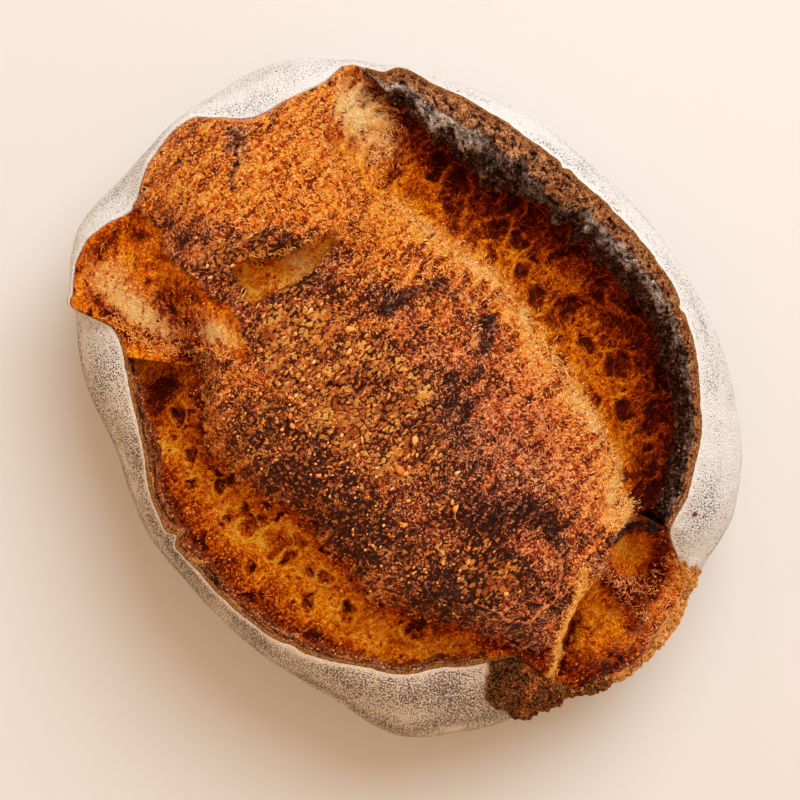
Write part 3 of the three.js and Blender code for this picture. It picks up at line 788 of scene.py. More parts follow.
def open_top():
    """The risen crust and the torn crumb, as one height field cut into pieces."""
    half_x, half_y = TOP_REACH
    xs, ys = np.arange(-half_x, half_x, TOP_PITCH), np.arange(-half_y, half_y, TOP_PITCH)
    x, y = np.meshgrid(xs, ys)
    degrees, radius = directions(x, y), np.hypot(x, y)
    edge, edge_height = edge_line(degrees)
    width = around(FACE_WIDTH, degrees)
    height = top_height(x, y)

    # Where crust gives way to torn crumb.
    wobble = 2.0 * rough(x, y, 11, 101, 3) + 1.0 * waves(x, y, 2.8, 102) + 0.5 * waves(x, y, 1.3, 103)
    past_north = y - along(CRUMB_BANK, x) + wobble
    past_south = along(SOUTH_BANK, x) - y - 3 + 2.6 * wobble
    past_end = x - along(CRUST_END, y) + 0.9 * wobble
    below_plate, above_ridge = along(PLATE_EDGE, x) - y, y - along(POCKET_RIDGE, x)
    pocket = (step(-1, 1, below_plate + 1.6 * wobble) * step(-1, 1, above_ridge + 0.4 * wobble)
              * step(-46, -50, x))
    tear = step(0.32, 0.5, sum(mound(x, y, *spot) for spot in TEAR) + 0.06 * wobble)
    north, south = step(-1.5, 1.5, past_north) * (1 - pocket), step(-2, 2, past_south) * (1 - pocket)
    end = step(-0.8, 0.8, past_end)
    crumb = np.maximum.reduce([north, south, end, pocket, tear])

    # Broad steps at the torn lines.
    height -= 2.5 * step(-1.5, 3, past_north)
    height += 2.0 * (1 - crumb) * step(0.9, 0.2, np.abs(below_plate / 4)) * step(-50, -60, x)
    height += 3.2 * mound(x, y, -78, 58, 15, 10, -10) - 6 * tear
    lower_side = step(210, 214, degrees) * step(342, 338, degrees)
    extra = 8 * step(228, 244, degrees) * step(300, 284, degrees) * (0.7 + 0.6 * waves(x, y, 14, 157))
    climb = np.clip((radius - edge + width + 1.5 + extra) / (0.5 * width + 1.5 + extra), 0, 1) * lower_side
    height = mix(height, np.maximum(height, edge_height - 4), climb ** 2 * 0.8)
    frill = np.exp(-((past_end + 1.2) / 1.9) ** 2) * step(12, 4, y) * step(-48, -42, y)
    height += 1.6 * frill

    flakes = paint(FLAKE_ZONES, x, y) * 1.3 - 0.35 + 0.35 * rough(x, y, 10, 104, 3)
    flakes = step(0.1, 0.5, flakes) * (1 - crumb)
    dots = step(0.25, 0.6, paint(DOT_ZONES, x, y) + 0.3 * rough(x, y, 9, 105, 3)) * (1 - crumb)
    crumb_relief, hollow, ridge = crumb_surface(x, y, north, south, pocket)
    crust_relief, curls, plates, tint = crust_surface(x, y, flakes, dots)
    fold_rise, fold_dark, fold_grey, fold_red = fold_lines(x, y)
    smooth = step(0.25, 0.6, mound(x, y, 98, 17, 10, 6.5, 30)) * end
    granular = np.clip(0.7 * np.exp(-((past_south + 1) / 6) ** 2) * step(-96, -80, x)
                       + climb * step(236, 246, degrees) * step(312, 300, degrees) + fold_red * end
                       + 0.8 * step(118, 123, x + 3 * wobble) * end, 0, 1)
    crumb_relief = crumb_relief * (1 - 0.75 * smooth) + 0.9 * fold_rise
    crumb_relief += granular * (1.1 * domes(x, y, 1.7, 106) + 0.8 * rough(x, y, 5, 107, 3))
    relief = mix(crust_relief + fold_rise, crumb_relief, crumb)
    edge_frizz = (np.exp(-((past_north + 3.5) / 4) ** 2) * step(-50, -34, x)
                  * step(0.2, 0.5, 0.5 + rough(x, y, 14, 108, 2)))
    relief += 0.9 * edge_frizz * (curls - 0.6) * (1 - crumb)
    height = height + relief * step(0, 2.5, edge - radius + 2)

    # The crust rolls over where no flap stands, and runs on under a flap.
    no_flap = step(6.5, 4.0, width)
    rolled = np.clip((radius - edge + 2.0) / 3.5, 0, 2)
    bare_level = np.maximum(height, edge_height + 0.8)
    height = np.where(no_flap > 0.5, bare_level - 8 * rolled ** 2, height)
    reach = np.where(no_flap > 0.5, edge + 1.4, edge - 1.6)
    inside = radius < reach

    # Masks.
    # Painted light and shade: the relief above its blur, with which the colours lighten the peaks as
    # painted highlight and darken the hollows as painted shade.
    peak_light_and_shade = relief - blur(relief, 3)
    band = (step(-4, 5, along(BAND_TOP, x) - y + 2.5 * wobble) * step(-42, -52, x)
            * step(-8, 0, y - along(PLATE_EDGE, x)))
    streaks = waves(x + 1.5 * waves(x, y, 9, 155), y / 3.2, 3.2, 153) + 0.6 * waves(x, y / 3, 1.7, 154)
    slope = np.exp(-((past_south + 1) / 6.5) ** 2) * step(-96, -80, x) * (1 - pocket)
    # Along the frizzed north edge the crust is painted lighter, partly pale frizz and partly a painted
    # highlight on that convex edge.
    bake = (0.42 + 0.24 * rough(x, y, 16, 142, 4) + 0.24 * rough(x, y, 5, 149, 3) + 0.28 * streaks
            + 0.12 * np.maximum(flakes, dots) + 0.19 * band + 0.08 * slope + fold_dark
            + paint(DARK_SPOTS, x, y) - paint(PALE_SPOTS, x, y) - 0.34 * edge_frizz - 0.25 * frill
            + 0.3 * step(2.2, 0.6, reach - radius + 0.5 * wobble) * no_flap)
    # Painted shade under the tall flap: the crumb there is painted darker as well as redder, and lighter by
    # the bank.
    under_flap = step(19, 4, edge - width - radius + 6 * rough(x, y, 9, 143, 3)) * (1 - no_flap) * north
    near_bank = step(7, 1, past_north) * north
    cream = np.clip(paint(CREAM_CRUMB, x, y), 0, 1)
    hollow = hollow * (1 - 0.8 * cream * north)
    # Painted shade and light on the crumb: darker and redder in its hollows and holes, lighter on its
    # ridges and hole rims.
    bake_crumb = (0.395 + 0.15 * north + 0.08 * pocket - 0.17 * ridge + 0.38 * hollow
                  + 0.3 * rough(x, y, 11, 144, 4) + 0.24 * under_flap * (1 - cream) - 0.22 * near_bank
                  + 0.8 * fold_dark + 0.4 * granular + paint(CRUMB_SPOTS, x, y) - 0.3 * frill
                  + 0.12 * slope - 0.25 * cream - 0.16 * tear)
    red_crumb = (1.2 * under_flap + 0.35 * north * (1 - near_bank) + 0.9 * north * hollow
                 + 0.6 * south * hollow + granular + fold_red + paint(CRUMB_SPOTS, x, y, 6) + 0.45 * slope)
    red_crust = (paint(RED_SPOTS, x, y) + 0.25 * rough(x, y, 12, 145, 3) + fold_red + 0.7 * band
                 - 0.6 * frill - 0.25 * edge_frizz)
    pale_edge = paint(CREAM_EDGE, x, y) * step(-0.3, 0.5, rough(x, y, 6, 159, 3))
    masks = {"bake": np.clip(mix(bake, bake_crumb, crumb), 0, 1), "crumb": crumb,
             "flake": np.clip(plates * (1 - crumb), 0, 1), "tint": tint,
             "peak_light_and_shade": np.clip(0.5 + peak_light_and_shade * 0.8, 0, 1),
             "grey": np.clip(paint(GREY_SPOTS, x, y) + fold_grey, 0, 1),
             "red": np.clip(mix(red_crust, red_crumb, crumb), 0, 1),
             "cream": np.clip(cream * np.maximum(crumb, step(-4, -1, past_north)) + pale_edge, 0, 1),
             "smooth": np.clip(smooth + 0.2 * pocket, 0, 1)}
    points = np.stack([x, y, height], -1).reshape(-1, 3)
    faces = grid_faces(*x.shape, False)
    faces = faces[inside.ravel()[faces].all(1)]
    crumb_face = crumb.ravel()[faces].mean(1) > 0.5
    blunt = points[faces[:, 0], 0] < CRUST_CUT
    northern = points[faces[:, 0], 1] > CRUMB_CUT
    bake_map = (points[:, :2] + half_x) / (2 * half_x)
    flat_masks = {mask: values.ravel() for mask, values in masks.items()}
    made = []
    for name, chosen in (("north_crumb", crumb_face & northern), ("south_crumb", crumb_face & ~northern),
                         ("blunt_end_crust", ~crumb_face & blunt), ("risen_crust", ~crumb_face & ~blunt)):
        made.append(make_piece(name, *keep_used(points, faces[chosen], flat_masks, bake_map)))
    covered = np.where(lower_side > 0.5, RIM_SHARE, 1.0) * width * (no_flap < 0.5)
    layers = dict(masks, height=height, flakes=flakes, dots=dots, north=north, south=south, pocket=pocket,
                  end=end, frill=frill, frizz=edge_frizz, granular=granular, hollow=hollow, tear=tear,
                  clear=(radius < edge - covered - 0.5).astype(float))
    return made, Ground(xs, ys, layers)


def blur(values, reach):
    """A plain box blur of a height field."""
    for axis in (0, 1):
        values = sum(np.roll(values, shift, axis) for shift in range(-reach, reach + 1)) / (2 * reach + 1)
    return values


# ---- Loose bits ----

BITS_SHARE = 1.0
GRAINS_SHARE = 1.0
SCATTER_REACH = (128, 106)
AHEAD = math.radians(90)
STRAND_SIDES = 3
GOLDEN = (1 + 5 ** 0.5) / 2


def scatter(ground, count, seed, density):
    """Places on the ground, kept by chance where the density is high, and what the ground is there."""
    count = int(count * BITS_SHARE)
    chance = np.random.default_rng(seed)
    x, y = (chance.uniform(-reach, reach, count) for reach in SCATTER_REACH)
    keep = chance.uniform(0, 1, count) < density(ground.there(x, y)) * ground.at("clear", x, y)
    x, y = x[keep], y[keep]
    return x, y, chance, ground.there(x, y)


def bit_maps(count, within):
    """Gives each bit a square of its own on the map."""
    columns = math.ceil(count ** 0.5)
    cell = np.stack([np.arange(count) % columns, np.arange(count) // columns], -1)[:, None, :]
    return ((cell + within) / columns).reshape(-1, 2)


def bit_masks(tones, hues, per):
    """Masks of bits with some corners each, from one tone and one set of hues for each bit."""
    masks = {name: np.repeat(np.broadcast_to(value, len(tones)), per) for name, value in hues.items()}
    return dict(masks, tone=np.clip(np.repeat(tones, per), 0, 1))


def strands(x, y, chance, ground, run, length, thick, lift, bend, segments, tone, hues):
    """Thin curled strands lying on the ground, each a tapered tube of a few sides."""
    count = len(x)
    heading = run + chance.normal(0, 0.7, count)
    lengths = chance.uniform(*length, count)
    curl = chance.normal(0, bend, count)
    rise = chance.uniform(*lift, count)
    free = chance.uniform(0, 1, count) < 0.35
    t = np.linspace(0, 1, segments + 1)
    turn = heading[:, None] + curl[:, None] * (t - 0.5)
    pace = lengths[:, None] / segments
    line_x, line_y = (start[:, None] + np.cumsum(part(turn) * pace, 1)
                      - lengths[:, None] * part(heading)[:, None] / 2
                      for start, part in ((x, np.cos), (y, np.sin)))
    arch = np.where(free[:, None], t ** 2, np.sin(math.pi * t))
    line_z = ground.at("height", line_x, line_y) + 0.1 + rise[:, None] * arch
    line = np.stack([line_x, line_y, line_z], -1)
    forward = np.gradient(line, axis=1)
    forward /= np.maximum(np.linalg.norm(forward, axis=2, keepdims=True), 1e-6)
    aside = np.cross(forward, [0.0, 0, 1])
    aside /= np.maximum(np.linalg.norm(aside, axis=2, keepdims=True), 1e-6)
    upward = np.cross(aside, forward)
    girth = chance.uniform(*thick, count)[:, None] * (1 - 0.7 * np.abs(2 * t - 1) ** 3)
    around_tube = np.radians(90 + 360 / STRAND_SIDES * np.arange(STRAND_SIDES))
    ring = (np.cos(around_tube)[:, None] * aside[:, :, None, :]
            + np.sin(around_tube)[:, None] * upward[:, :, None, :])
    points = line[:, :, None, :] + ring * girth[:, :, None, None]
    per = (segments + 1) * STRAND_SIDES
    step_row = np.arange(segments)[:, None] * STRAND_SIDES
    side = np.arange(STRAND_SIDES)
    after = (side + 1) % STRAND_SIDES
    pattern = np.stack([step_row + side, step_row + after, step_row + STRAND_SIDES + after,
                        step_row + STRAND_SIDES + side], -1).reshape(-1, 4)
    faces = (np.arange(count)[:, None, None] * per + pattern).reshape(-1, 4)
    masks = bit_masks(tone + chance.normal(0, 0.12, count), hues, per)
    within = np.stack(np.meshgrid(side / STRAND_SIDES, t), -1).reshape(-1, 2) * 0.9
    return points.reshape(-1, 3), faces, masks, bit_maps(count, within)


def lump_shape():
    """Corners and faces of a ball of 20 triangles."""
    corners = []
    for a in (-1, 1):
        for b in (-GOLDEN, GOLDEN):
            corners += [(0, a, b), (a, b, 0), (b, 0, a)]
    corners = np.array(corners, float)
    corners /= np.linalg.norm(corners[0])
    near = np.linalg.norm(corners[:, None] - corners[None], axis=2)
    side = near[near > 0.1].min() * 1.1
    faces = []
    for i, j, k in itertools.combinations(range(len(corners)), 3):
        if near[i, j] < side and near[j, k] < side and near[i, k] < side:
            normal = np.cross(corners[j] - corners[i], corners[k] - corners[i])
            faces.append((i, j, k) if np.dot(normal, corners[i]) > 0 else (i, k, j))
    return corners, np.array(faces)


def lumps(places, chance, run, sizes, tone, hues):
    """Small uneven lumps: half length, half width and half thickness each have a range."""
    corners, ball = lump_shape()
    count = len(places)
    scale = np.stack([chance.uniform(*size, count) for size in sizes], -1)
    shape = corners * scale[:, None, :] * chance.uniform(0.6, 1.3, (count, len(corners), 1))
    turn = (run + chance.normal(0, 0.45, count))[:, None]
    x = shape[..., 0] * np.cos(turn) - shape[..., 1] * np.sin(turn)
    y = shape[..., 0] * np.sin(turn) + shape[..., 1] * np.cos(turn)
    tilt = chance.normal(0, 0.3, (count, 1))
    points = places[:, None, :] + np.stack([x, y, shape[..., 2] + tilt * x], -1)
    faces = (np.arange(count)[:, None, None] * len(corners) + ball).reshape(-1, 3)
    masks = bit_masks(tone + chance.normal(0, 0.18, count), hues, len(corners))
    return points.reshape(-1, 3), faces, masks, bit_maps(count, (corners[None, :, :2] + 1) * 0.45)


def join_bits(name, parts):
    """One piece from several lots of bits of the same kind, each lot with its own part of the map."""
    points, faces, masks, maps, before = [], [], [], [], 0
    for number, (lot, lot_faces, lot_masks, lot_map) in enumerate(parts):
        points.append(lot)
        faces.append(lot_faces + before)
        masks.append(lot_masks)
        maps.append(lot_map * [1 / len(parts), 1] + [number / len(parts), 0])
        before += len(lot)
    joined = {mask: np.concatenate([lot[mask] for lot in masks]) for mask in masks[0]}
    return make_piece(name, np.concatenate(points), np.concatenate(faces), joined, np.concatenate(maps))


def hue(red=0.0, grey=0.0, crumb=0.0):
    """How far a bit's colour goes from gold to red, to ash and to crumb."""
    return {"red": red, "grey": grey, "crumb": crumb}


def on_ground(ground, x, y, lift):
    return np.stack([x, y, ground.at("height", x, y) + lift], -1)


def crust_bits(ground):
    """Flakes and grains on the risen crust, grains of the crumb, big flakes and crumbs on the wall."""
    parts = []
    x, y, chance, at = scatter(ground, 2200, 401, lambda at: at("flakes") * 0.9)
    parts.append(lumps(on_ground(ground, x, y, 0.12), chance, AHEAD, [(0.8, 1.6), (0.4, 0.8), (0.14, 0.26)],
                       0.62 - 0.4 * (at("bake") - 0.5), hue(red=0.1 * at("red"))))
    x, y, chance, at = scatter(ground, 5000, 402, lambda at: at("dots") * 0.6)
    parts.append(lumps(on_ground(ground, x, y, 0.2), chance, AHEAD, [(0.4, 0.8), (0.35, 0.6), (0.3, 0.5)],
                       0.62, hue(red=0.2)))
    x, y, chance, at = scatter(ground, 12000, 403, lambda at: (
        (1 - at("crumb")) * (0.06 + 0.5 * at("frizz") + 0.8 * at("frill"))))
    parts.append(lumps(on_ground(ground, x, y, 0.15), chance, AHEAD,
                       [(0.3, 0.6), (0.25, 0.5), (0.25, 0.45)], 0.8 - 0.6 * (at("bake") - 0.4),
                       hue(red=at("red"), grey=0.5 * at("grey"))))
    x, y, chance, at = scatter(ground, 30000, 404, lambda at: at("granular") * at("crumb") * 0.6)
    parts.append(lumps(on_ground(ground, x, y, 0.2), chance, AHEAD, [(0.35, 0.8), (0.3, 0.6), (0.3, 0.5)],
                       0.45, hue(red=0.9)))
    chance = np.random.default_rng(405)
    for at_x, at_y, long, wide, turn in BIG_FLAKES:
        place = on_ground(ground, np.array([at_x]), np.array([at_y]), 0.2)
        halves = [(long * 0.6, long * 0.7), (wide * 0.7, wide * 0.8), (0.3, 0.4)]
        parts.append(lumps(place, chance, math.radians(turn), halves, 0.5, hue()))
    for at_x, at_y, reach, tone, crumb in WALL_CRUMBS:
        degrees = directions(at_x, at_y)
        (edge, top), widest = edge_line(degrees), outline(degrees)
        share = np.clip((math.hypot(at_x, at_y) - edge) / (widest - edge), 0, 1) ** (1 / HIGH_REACH)
        level = WIDEST_LEVEL + (top - WIDEST_LEVEL) * np.sqrt(1 - share ** 2) + 0.3
        place = np.array([[at_x, at_y, float(level)]])
        halves = [(part * reach, part * reach) for part in (1, 0.8, 0.6)]
        parts.append(lumps(place, chance, 0.5, halves, tone, hue(crumb=crumb)))
    return join_bits("crust_flakes", parts)


def crust_shreds(ground):
    """Fine curled shreds of crust skin, and the curls along torn lines."""
    x, y, chance, at = scatter(ground, 20000, 411, lambda at: (
        (1 - at("crumb")) * (0.24 + 0.4 * at("frizz") + 0.4 * at("frill") - 0.2 * at("flakes"))))
    parts = [strands(x, y, chance, ground, AHEAD, (0.9, 2.2), (0.15, 0.24), (0.05, 0.4), 2.2, 3,
                     0.86 - 0.6 * (at("bake") - 0.4), hue(red=at("red"), grey=0.5 * at("grey")))]
    for number, (points, wide, dense, length, tone, crumb, ashy) in enumerate(CURL_LINES):
        chance = np.random.default_rng(440 + number)
        corners = np.array(points, float)
        runs = np.hypot(*np.diff(corners, axis=0).T)
        count = int(runs.sum() * dense * BITS_SHARE)
        place = chance.uniform(0, runs.sum(), count)
        ends = np.concatenate([[0], np.cumsum(runs)])
        x = np.interp(place, ends, corners[:, 0]) + chance.normal(0, wide, count)
        y = np.interp(place, ends, corners[:, 1]) + chance.normal(0, wide, count)
        inside = ground.at("clear", x, y) > 0.5
        headings = chance.uniform(0, math.pi, inside.sum())
        parts.append(strands(x[inside], y[inside], chance, ground, headings, length, (0.15, 0.24),
                             (0.1, 0.7), 2.2, 4, tone, hue(red=0.5, grey=ashy, crumb=crumb)))
    return join_bits("crust_shreds", parts)


def crumb_fibres(ground):
    """Fine torn fibres of crumb, on the whole, in the pocket and across the long tear."""
    x, y, chance, at = scatter(ground, 9000, 421, lambda at: at("crumb") * (1 - at("smooth")) * 0.4)
    parts = [strands(x, y, chance, ground, AHEAD, (1, 3.6), (0.12, 0.2), (0.05, 0.5), 2.0, 4,
                     0.68 - 0.8 * (at("bake") - 0.35), hue(red=0.5 * at("red"), crumb=1.0))]
    x, y, chance, at = scatter(ground, 2500, 422, lambda at: at("pocket") * 0.7)
    parts.append(strands(x, y, chance, ground, math.radians(135), (1, 3.5), (0.14, 0.22), (0.1, 0.5),
                         1.4, 4, 0.8 - 0.6 * (at("bake") - 0.35), hue(crumb=0.8)))
    x, y, chance, at = scatter(ground, 900, 423, lambda at: at("tear"))
    parts.append(strands(x, y, chance, ground, 0, (3, 8), (0.14, 0.24), (0.4, 2.0), 0.8, 4, 0.9,
                         hue(crumb=0.8)))
    return join_bits("crumb_fibres", parts)


def flap_bits(north_sheet, south_sheet):
    """Ashy and toasted grains on the torn faces of the flaps."""
    parts = []
    for seed, sheet, count, low, high, ashy in ((431, north_sheet, 3600, 3.2, 7.2, 1),
                                                (432, south_sheet, 2400, 4.2, 7.6, 0)):
        chance = np.random.default_rng(seed)
        rows, columns = sheet["across"].shape
        count = int(count * GRAINS_SHARE)
        i, j = chance.integers(0, rows, count), chance.integers(0, columns, count)
        keep = (sheet["across"][i, j] > low) & (sheet["across"][i, j] < high)
        keep &= chance.uniform(0, 1, count) < np.maximum(sheet["char"][i, j], 1 - ashy)
        i, j = i[keep], j[keep]
        char, ash = sheet["char"][i, j], sheet["ash"][i, j]
        tone = 0.34 - 0.16 * char * (1 - ash) * ashy + 0.24 * char * ash * ashy
        parts.append(lumps(sheet["points"][i, j], chance, AHEAD, [(0.3, 0.7), (0.25, 0.5), (0.25, 0.5)],
                           tone, hue(red=0.6, grey=0.9 * char * ashy)))
    return join_bits("flap_grains", parts)


# ---- Materials ----


def colour(red, green, blue):
    """A colour given as screen values from 0 to 255, as the shader wants it."""
    screen = (value / 255 for value in (red, green, blue))
    return (*(c / 12.92 if c < 0.0405 else ((c + 0.055) / 1.055) ** 2.4 for c in screen), 1.0)


def shades(*stops):
    """Stops of a colour ramp: place and screen values."""
    return [(at, colour(*shade)) for at, shade in stops]


class Wiring:
    """Short calls that add nodes to a tree and join them."""

    def __init__(self, tree):
        self.tree = tree

    def node(self, kind, **settings):
        made = self.tree.nodes.new(kind)
        for key, value in settings.items():
            setattr(made, key, value)
        return made

    def join(self, source, target):
        self.tree.links.new(source, target)

    def feed(self, socket, value):
        if isinstance(value, bpy.types.NodeSocket):
            self.join(value, socket)
        else:
            socket.default_value = value

    def mask(self, name):
        return self.node("ShaderNodeAttribute", attribute_name=name).outputs["Fac"]

    def sums(self, operation, *values, clamp=False):
        made = self.node("ShaderNodeMath", operation=operation, use_clamp=clamp)
        for socket, value in zip(made.inputs, values):
            self.feed(socket, value)
        return made.outputs[0]

    def times(self, *values):
        total = values[0]
        for value in values[1:]:
            total = self.sums("MULTIPLY", total, value)
        return total

    def scaled(self, value, by, plus):
        return self.sums("MULTIPLY_ADD", value, by, plus)

    def about(self, value, strength):
        """A 0 to 1 value turned into a change of up to half the strength either way."""
        return self.scaled(value, strength, -strength / 2)

    def total(self, *values, clamp=False):
        result = values[0]
        for value in values[1:]:
            result = self.sums("ADD", result, value, clamp=clamp)
        return result

    def blend(self, share, a, b, kind="MIX"):
        made = self.node("ShaderNodeMix", data_type="RGBA", blend_type=kind, clamp_factor=True)
        self.feed(made.inputs[0], share)
        self.feed(made.inputs[6], a)
        self.feed(made.inputs[7], b)
        return made.outputs[2]

    def ramp(self, value, stops):
        made = self.node("ShaderNodeValToRGB")
        bar = made.color_ramp
        while len(bar.elements) < len(stops):
            bar.elements.new(0.5)
        for element, (at, shade) in zip(bar.elements, stops):
            element.position = at
            element.color = shade
        self.feed(made.inputs[0], value)
        return made.outputs[0]

    def window(self, value, low, high):
        made = self.node("ShaderNodeMapRange", interpolation_type="SMOOTHSTEP")
        self.feed(made.inputs[0], value)
        self.feed(made.inputs[1], low)
        self.feed(made.inputs[2], high)
        return made.outputs[0]

    def noise(self, scale, detail=3, distortion=0):
        made = self.node("ShaderNodeTexNoise")
        self.join(self.node("ShaderNodeTexCoord").outputs["Object"], made.inputs["Vector"])
        self.feed(made.inputs["Scale"], scale)
        made.inputs["Detail"].default_value = detail
        self.feed(made.inputs["Distortion"], distortion)
        return made.outputs["Fac"]

    def group(self, tree, **values):
        """Adds a node group, with its inputs by name, and gives its first output."""
        made = self.node("ShaderNodeGroup", node_tree=tree)
        for key, value in values.items():
            self.feed(made.inputs[key.replace("_", " ")], value)
        return made.outputs[0]


def new_group(name, inputs, output, kind):
    """An empty node group, with the wiring, the given inputs and the node that takes its output."""
    tree = bpy.data.node_groups.new(name, "ShaderNodeTree")
    for key, value in inputs.items():
        socket = tree.interface.new_socket(key, in_out="INPUT", socket_type="NodeSocketFloat")
        socket.default_value = value
    tree.interface.new_socket(output, in_out="OUTPUT", socket_type=kind)
    wiring = Wiring(tree)
    given, result = wiring.node("NodeGroupInput"), wiring.node("NodeGroupOutput")
    return tree, wiring, given.outputs, result.inputs[0]


def curly_felt():
    """Curled fibres pressed into a felt: 1 on a fibre, 0 in a gap, about as much of each."""
    tree, w, given, result = new_group("curly felt", {"scale": 600, "curl": 2.5}, "felt", "NodeSocketFloat")
    fibres = w.noise(given["scale"], 2, given["curl"])
    w.join(w.window(fibres, 0.4, 0.6), result)
    return tree


def fine_grain():
    """Fine grain of baked crust from 0 to 1, with more spread than plain noise."""
    tree, w, given, result = new_group("fine grain", {"scale": 1500}, "grain", "NodeSocketFloat")
    w.join(w.window(w.noise(given["scale"], 4), 0.25, 0.75), result)
    return tree


def rough_skin():
    """Surface direction from a height, with a fine grain of its own."""
    tree, w, given, result = new_group("rough skin", {"height": 0.5, "depth": 0.0006}, "normal",
                                       "NodeSocketVector")
    bump = w.node("ShaderNodeBump")
    w.join(given["depth"], bump.inputs["Distance"])
    w.join(w.total(given["height"], w.times(w.noise(2600, 2), 0.7)), bump.inputs["Height"])
    w.join(bump.outputs["Normal"], result)
    return tree


WARM_GLINT = (1.0, 0.62, 0.34, 1.0)


def new_material(name, roughness, specular=0.5):
    material = bpy.data.materials.new(name)
    material.use_nodes = True
    shader = material.node_tree.nodes["Principled BSDF"]
    shader.inputs["Roughness"].default_value = roughness
    shader.inputs["Specular IOR Level"].default_value = specular
    shader.inputs["Specular Tint"].default_value = WARM_GLINT
    return material, Wiring(material.node_tree), shader


CRUMB_SHADES = shades((0.0, (255, 196, 66)), (0.2, (252, 150, 12)), (0.4, (228, 101, 3)),
                      (0.6, (176, 57, 2)), (0.8, (112, 28, 2)), (1.0, (66, 12, 2)))
DEEP_CRUMB_SHADES = shades((0.0, (236, 92, 6)), (0.3, (176, 42, 2)), (0.6, (106, 14, 2)),
                           (1.0, (54, 6, 2)))
GOLD_SHADES = shades((0.0, (255, 190, 92)), (0.2, (250, 142, 30)), (0.42, (224, 88, 2)),
                     (0.6, (166, 48, 1)), (0.78, (108, 25, 3)), (0.92, (74, 15, 6)), (1.0, (54, 11, 7)))
RED_SHADES = shades((0.0, (255, 174, 118)), (0.2, (244, 122, 54)), (0.42, (198, 66, 17)),
                    (0.6, (138, 32, 6)), (0.78, (94, 18, 7)), (0.92, (66, 12, 9)), (1.0, (46, 9, 9)))
GREY_SHADES = shades((0.0, (232, 170, 128)), (0.3, (170, 96, 62)), (0.55, (112, 52, 38)),
                     (0.8, (62, 26, 22)), (1.0, (30, 13, 13)))
FLAKE_SHADES = shades((0.0, (112, 34, 10)), (0.35, (186, 84, 30)), (0.7, (236, 144, 62)),
                      (1.0, (255, 192, 90)))
# Colours of painted highlights: HONEY and PEACH on gold and red crust, ASHEN on grey crust, AMBER and EMBER
# on crumb; CREAM is for cream patches, partly painted highlight.
HONEY, PEACH = colour(255, 188, 78), colour(255, 186, 120)
AMBER, EMBER = colour(255, 172, 36), colour(226, 92, 8)
ASHEN, CREAM = colour(220, 160, 122), colour(255, 212, 140)
LOOSE_GOLD = shades((0.0, (110, 38, 8)), (0.35, (200, 100, 36)), (0.65, (246, 160, 80)),
                    (1.0, (255, 208, 134)))
LOOSE_RED = shades((0.0, (56, 12, 6)), (0.35, (150, 48, 16)), (0.65, (228, 112, 48)),
                   (1.0, (255, 178, 104)))
LOOSE_GREY = shades((0.0, (12, 9, 9)), (0.4, (66, 56, 54)), (0.75, (156, 144, 138)),
                    (1.0, (220, 212, 206)))
LOOSE_CRUMB = shades((0.0, (120, 26, 1)), (0.4, (228, 98, 2)), (0.7, (255, 156, 12)),
                     (1.0, (255, 206, 84)))


def toasted_crust():
    """Risen crust and torn crumb: painted soft shading from the relief, under a felt of curled fibres with
    painted highlights.
    """
    material, w, shader = new_material("toasted crust", 0.4, 0.34)
    grain, coarse = w.group(GRAIN, scale=1300), w.noise(260, 3)
    felt, fine_felt = w.group(FELT, scale=430, curl=2.4), w.group(FELT, scale=850, curl=2.0)
    curls = w.times(felt, fine_felt)
    texture = w.total(w.about(felt, -0.36), w.about(fine_felt, -0.26), w.about(grain, 0.1),
                      w.about(coarse, 0.62))
    peak_light_and_shade = w.mask("peak_light_and_shade")
    inner = w.window(w.mask("crumb"), 0.35, 0.65)
    # The crust is lighter on the peaks and darker in the hollows of the relief: painted highlight and
    # painted shade.
    level = w.total(w.mask("bake"), texture, w.about(peak_light_and_shade, -0.8), 0.06, clamp=True)
    red = w.total(w.mask("red"), w.about(w.noise(170, 3), 0.5), clamp=True)
    grey = w.times(w.mask("grey"), w.window(w.noise(330, 3), 0.38, 0.6))
    crust = w.blend(red, w.ramp(level, GOLD_SHADES), w.ramp(level, RED_SHADES))
    crust = w.blend(grey, crust, w.ramp(level, GREY_SHADES))
    lit = w.times(curls, w.window(level, 0.85, 0.3), 0.85)
    crust = w.blend(lit, crust, w.blend(grey, w.blend(red, HONEY, PEACH), ASHEN))
    toast = w.total(w.mask("tint"), w.about(w.mask("bake"), -0.7), w.about(fine_felt, 0.2),
                    w.about(coarse, -0.5), 0.24, clamp=True)
    flaky = w.window(w.total(w.mask("flake"), w.about(fine_felt, 0.4)), 0.3, 0.75)
    crust = w.blend(flaky, crust, w.ramp(toast, FLAKE_SHADES))
    crust = w.blend(w.times(w.mask("cream"), w.window(level, 0.7, 0.25)), crust, CREAM)
    # The crumb, too, is lighter on peaks and darker in hollows: painted highlight and painted shade.
    crumb_level = w.total(w.mask("bake"), w.times(texture, 0.7), w.about(peak_light_and_shade, -0.5), -0.03, clamp=True)
    crumb = w.ramp(crumb_level, CRUMB_SHADES)
    crumb = w.blend(w.times(w.mask("red"), 0.5), crumb, w.ramp(crumb_level, DEEP_CRUMB_SHADES))
    crumb_lit = w.times(curls, w.window(crumb_level, 0.85, 0.25),
                        w.scaled(w.mask("smooth"), -0.45, 0.5))
    crumb = w.blend(crumb_lit, crumb, w.blend(w.mask("red"), AMBER, EMBER))
    crumb = w.blend(w.times(w.mask("cream"), w.window(crumb_level, 0.7, 0.2)), crumb, CREAM)
    w.join(w.blend(inner, crust, crumb), shader.inputs["Base Color"])
    w.join(w.scaled(inner, -0.22, 0.34), shader.inputs["Specular IOR Level"])
    relief = w.total(w.times(felt, 0.7), w.times(fine_felt, 0.5), w.times(grain, 0.3))
    w.join(w.group(SKIN, height=relief, depth=0.0006), shader.inputs["Normal"])
    return material


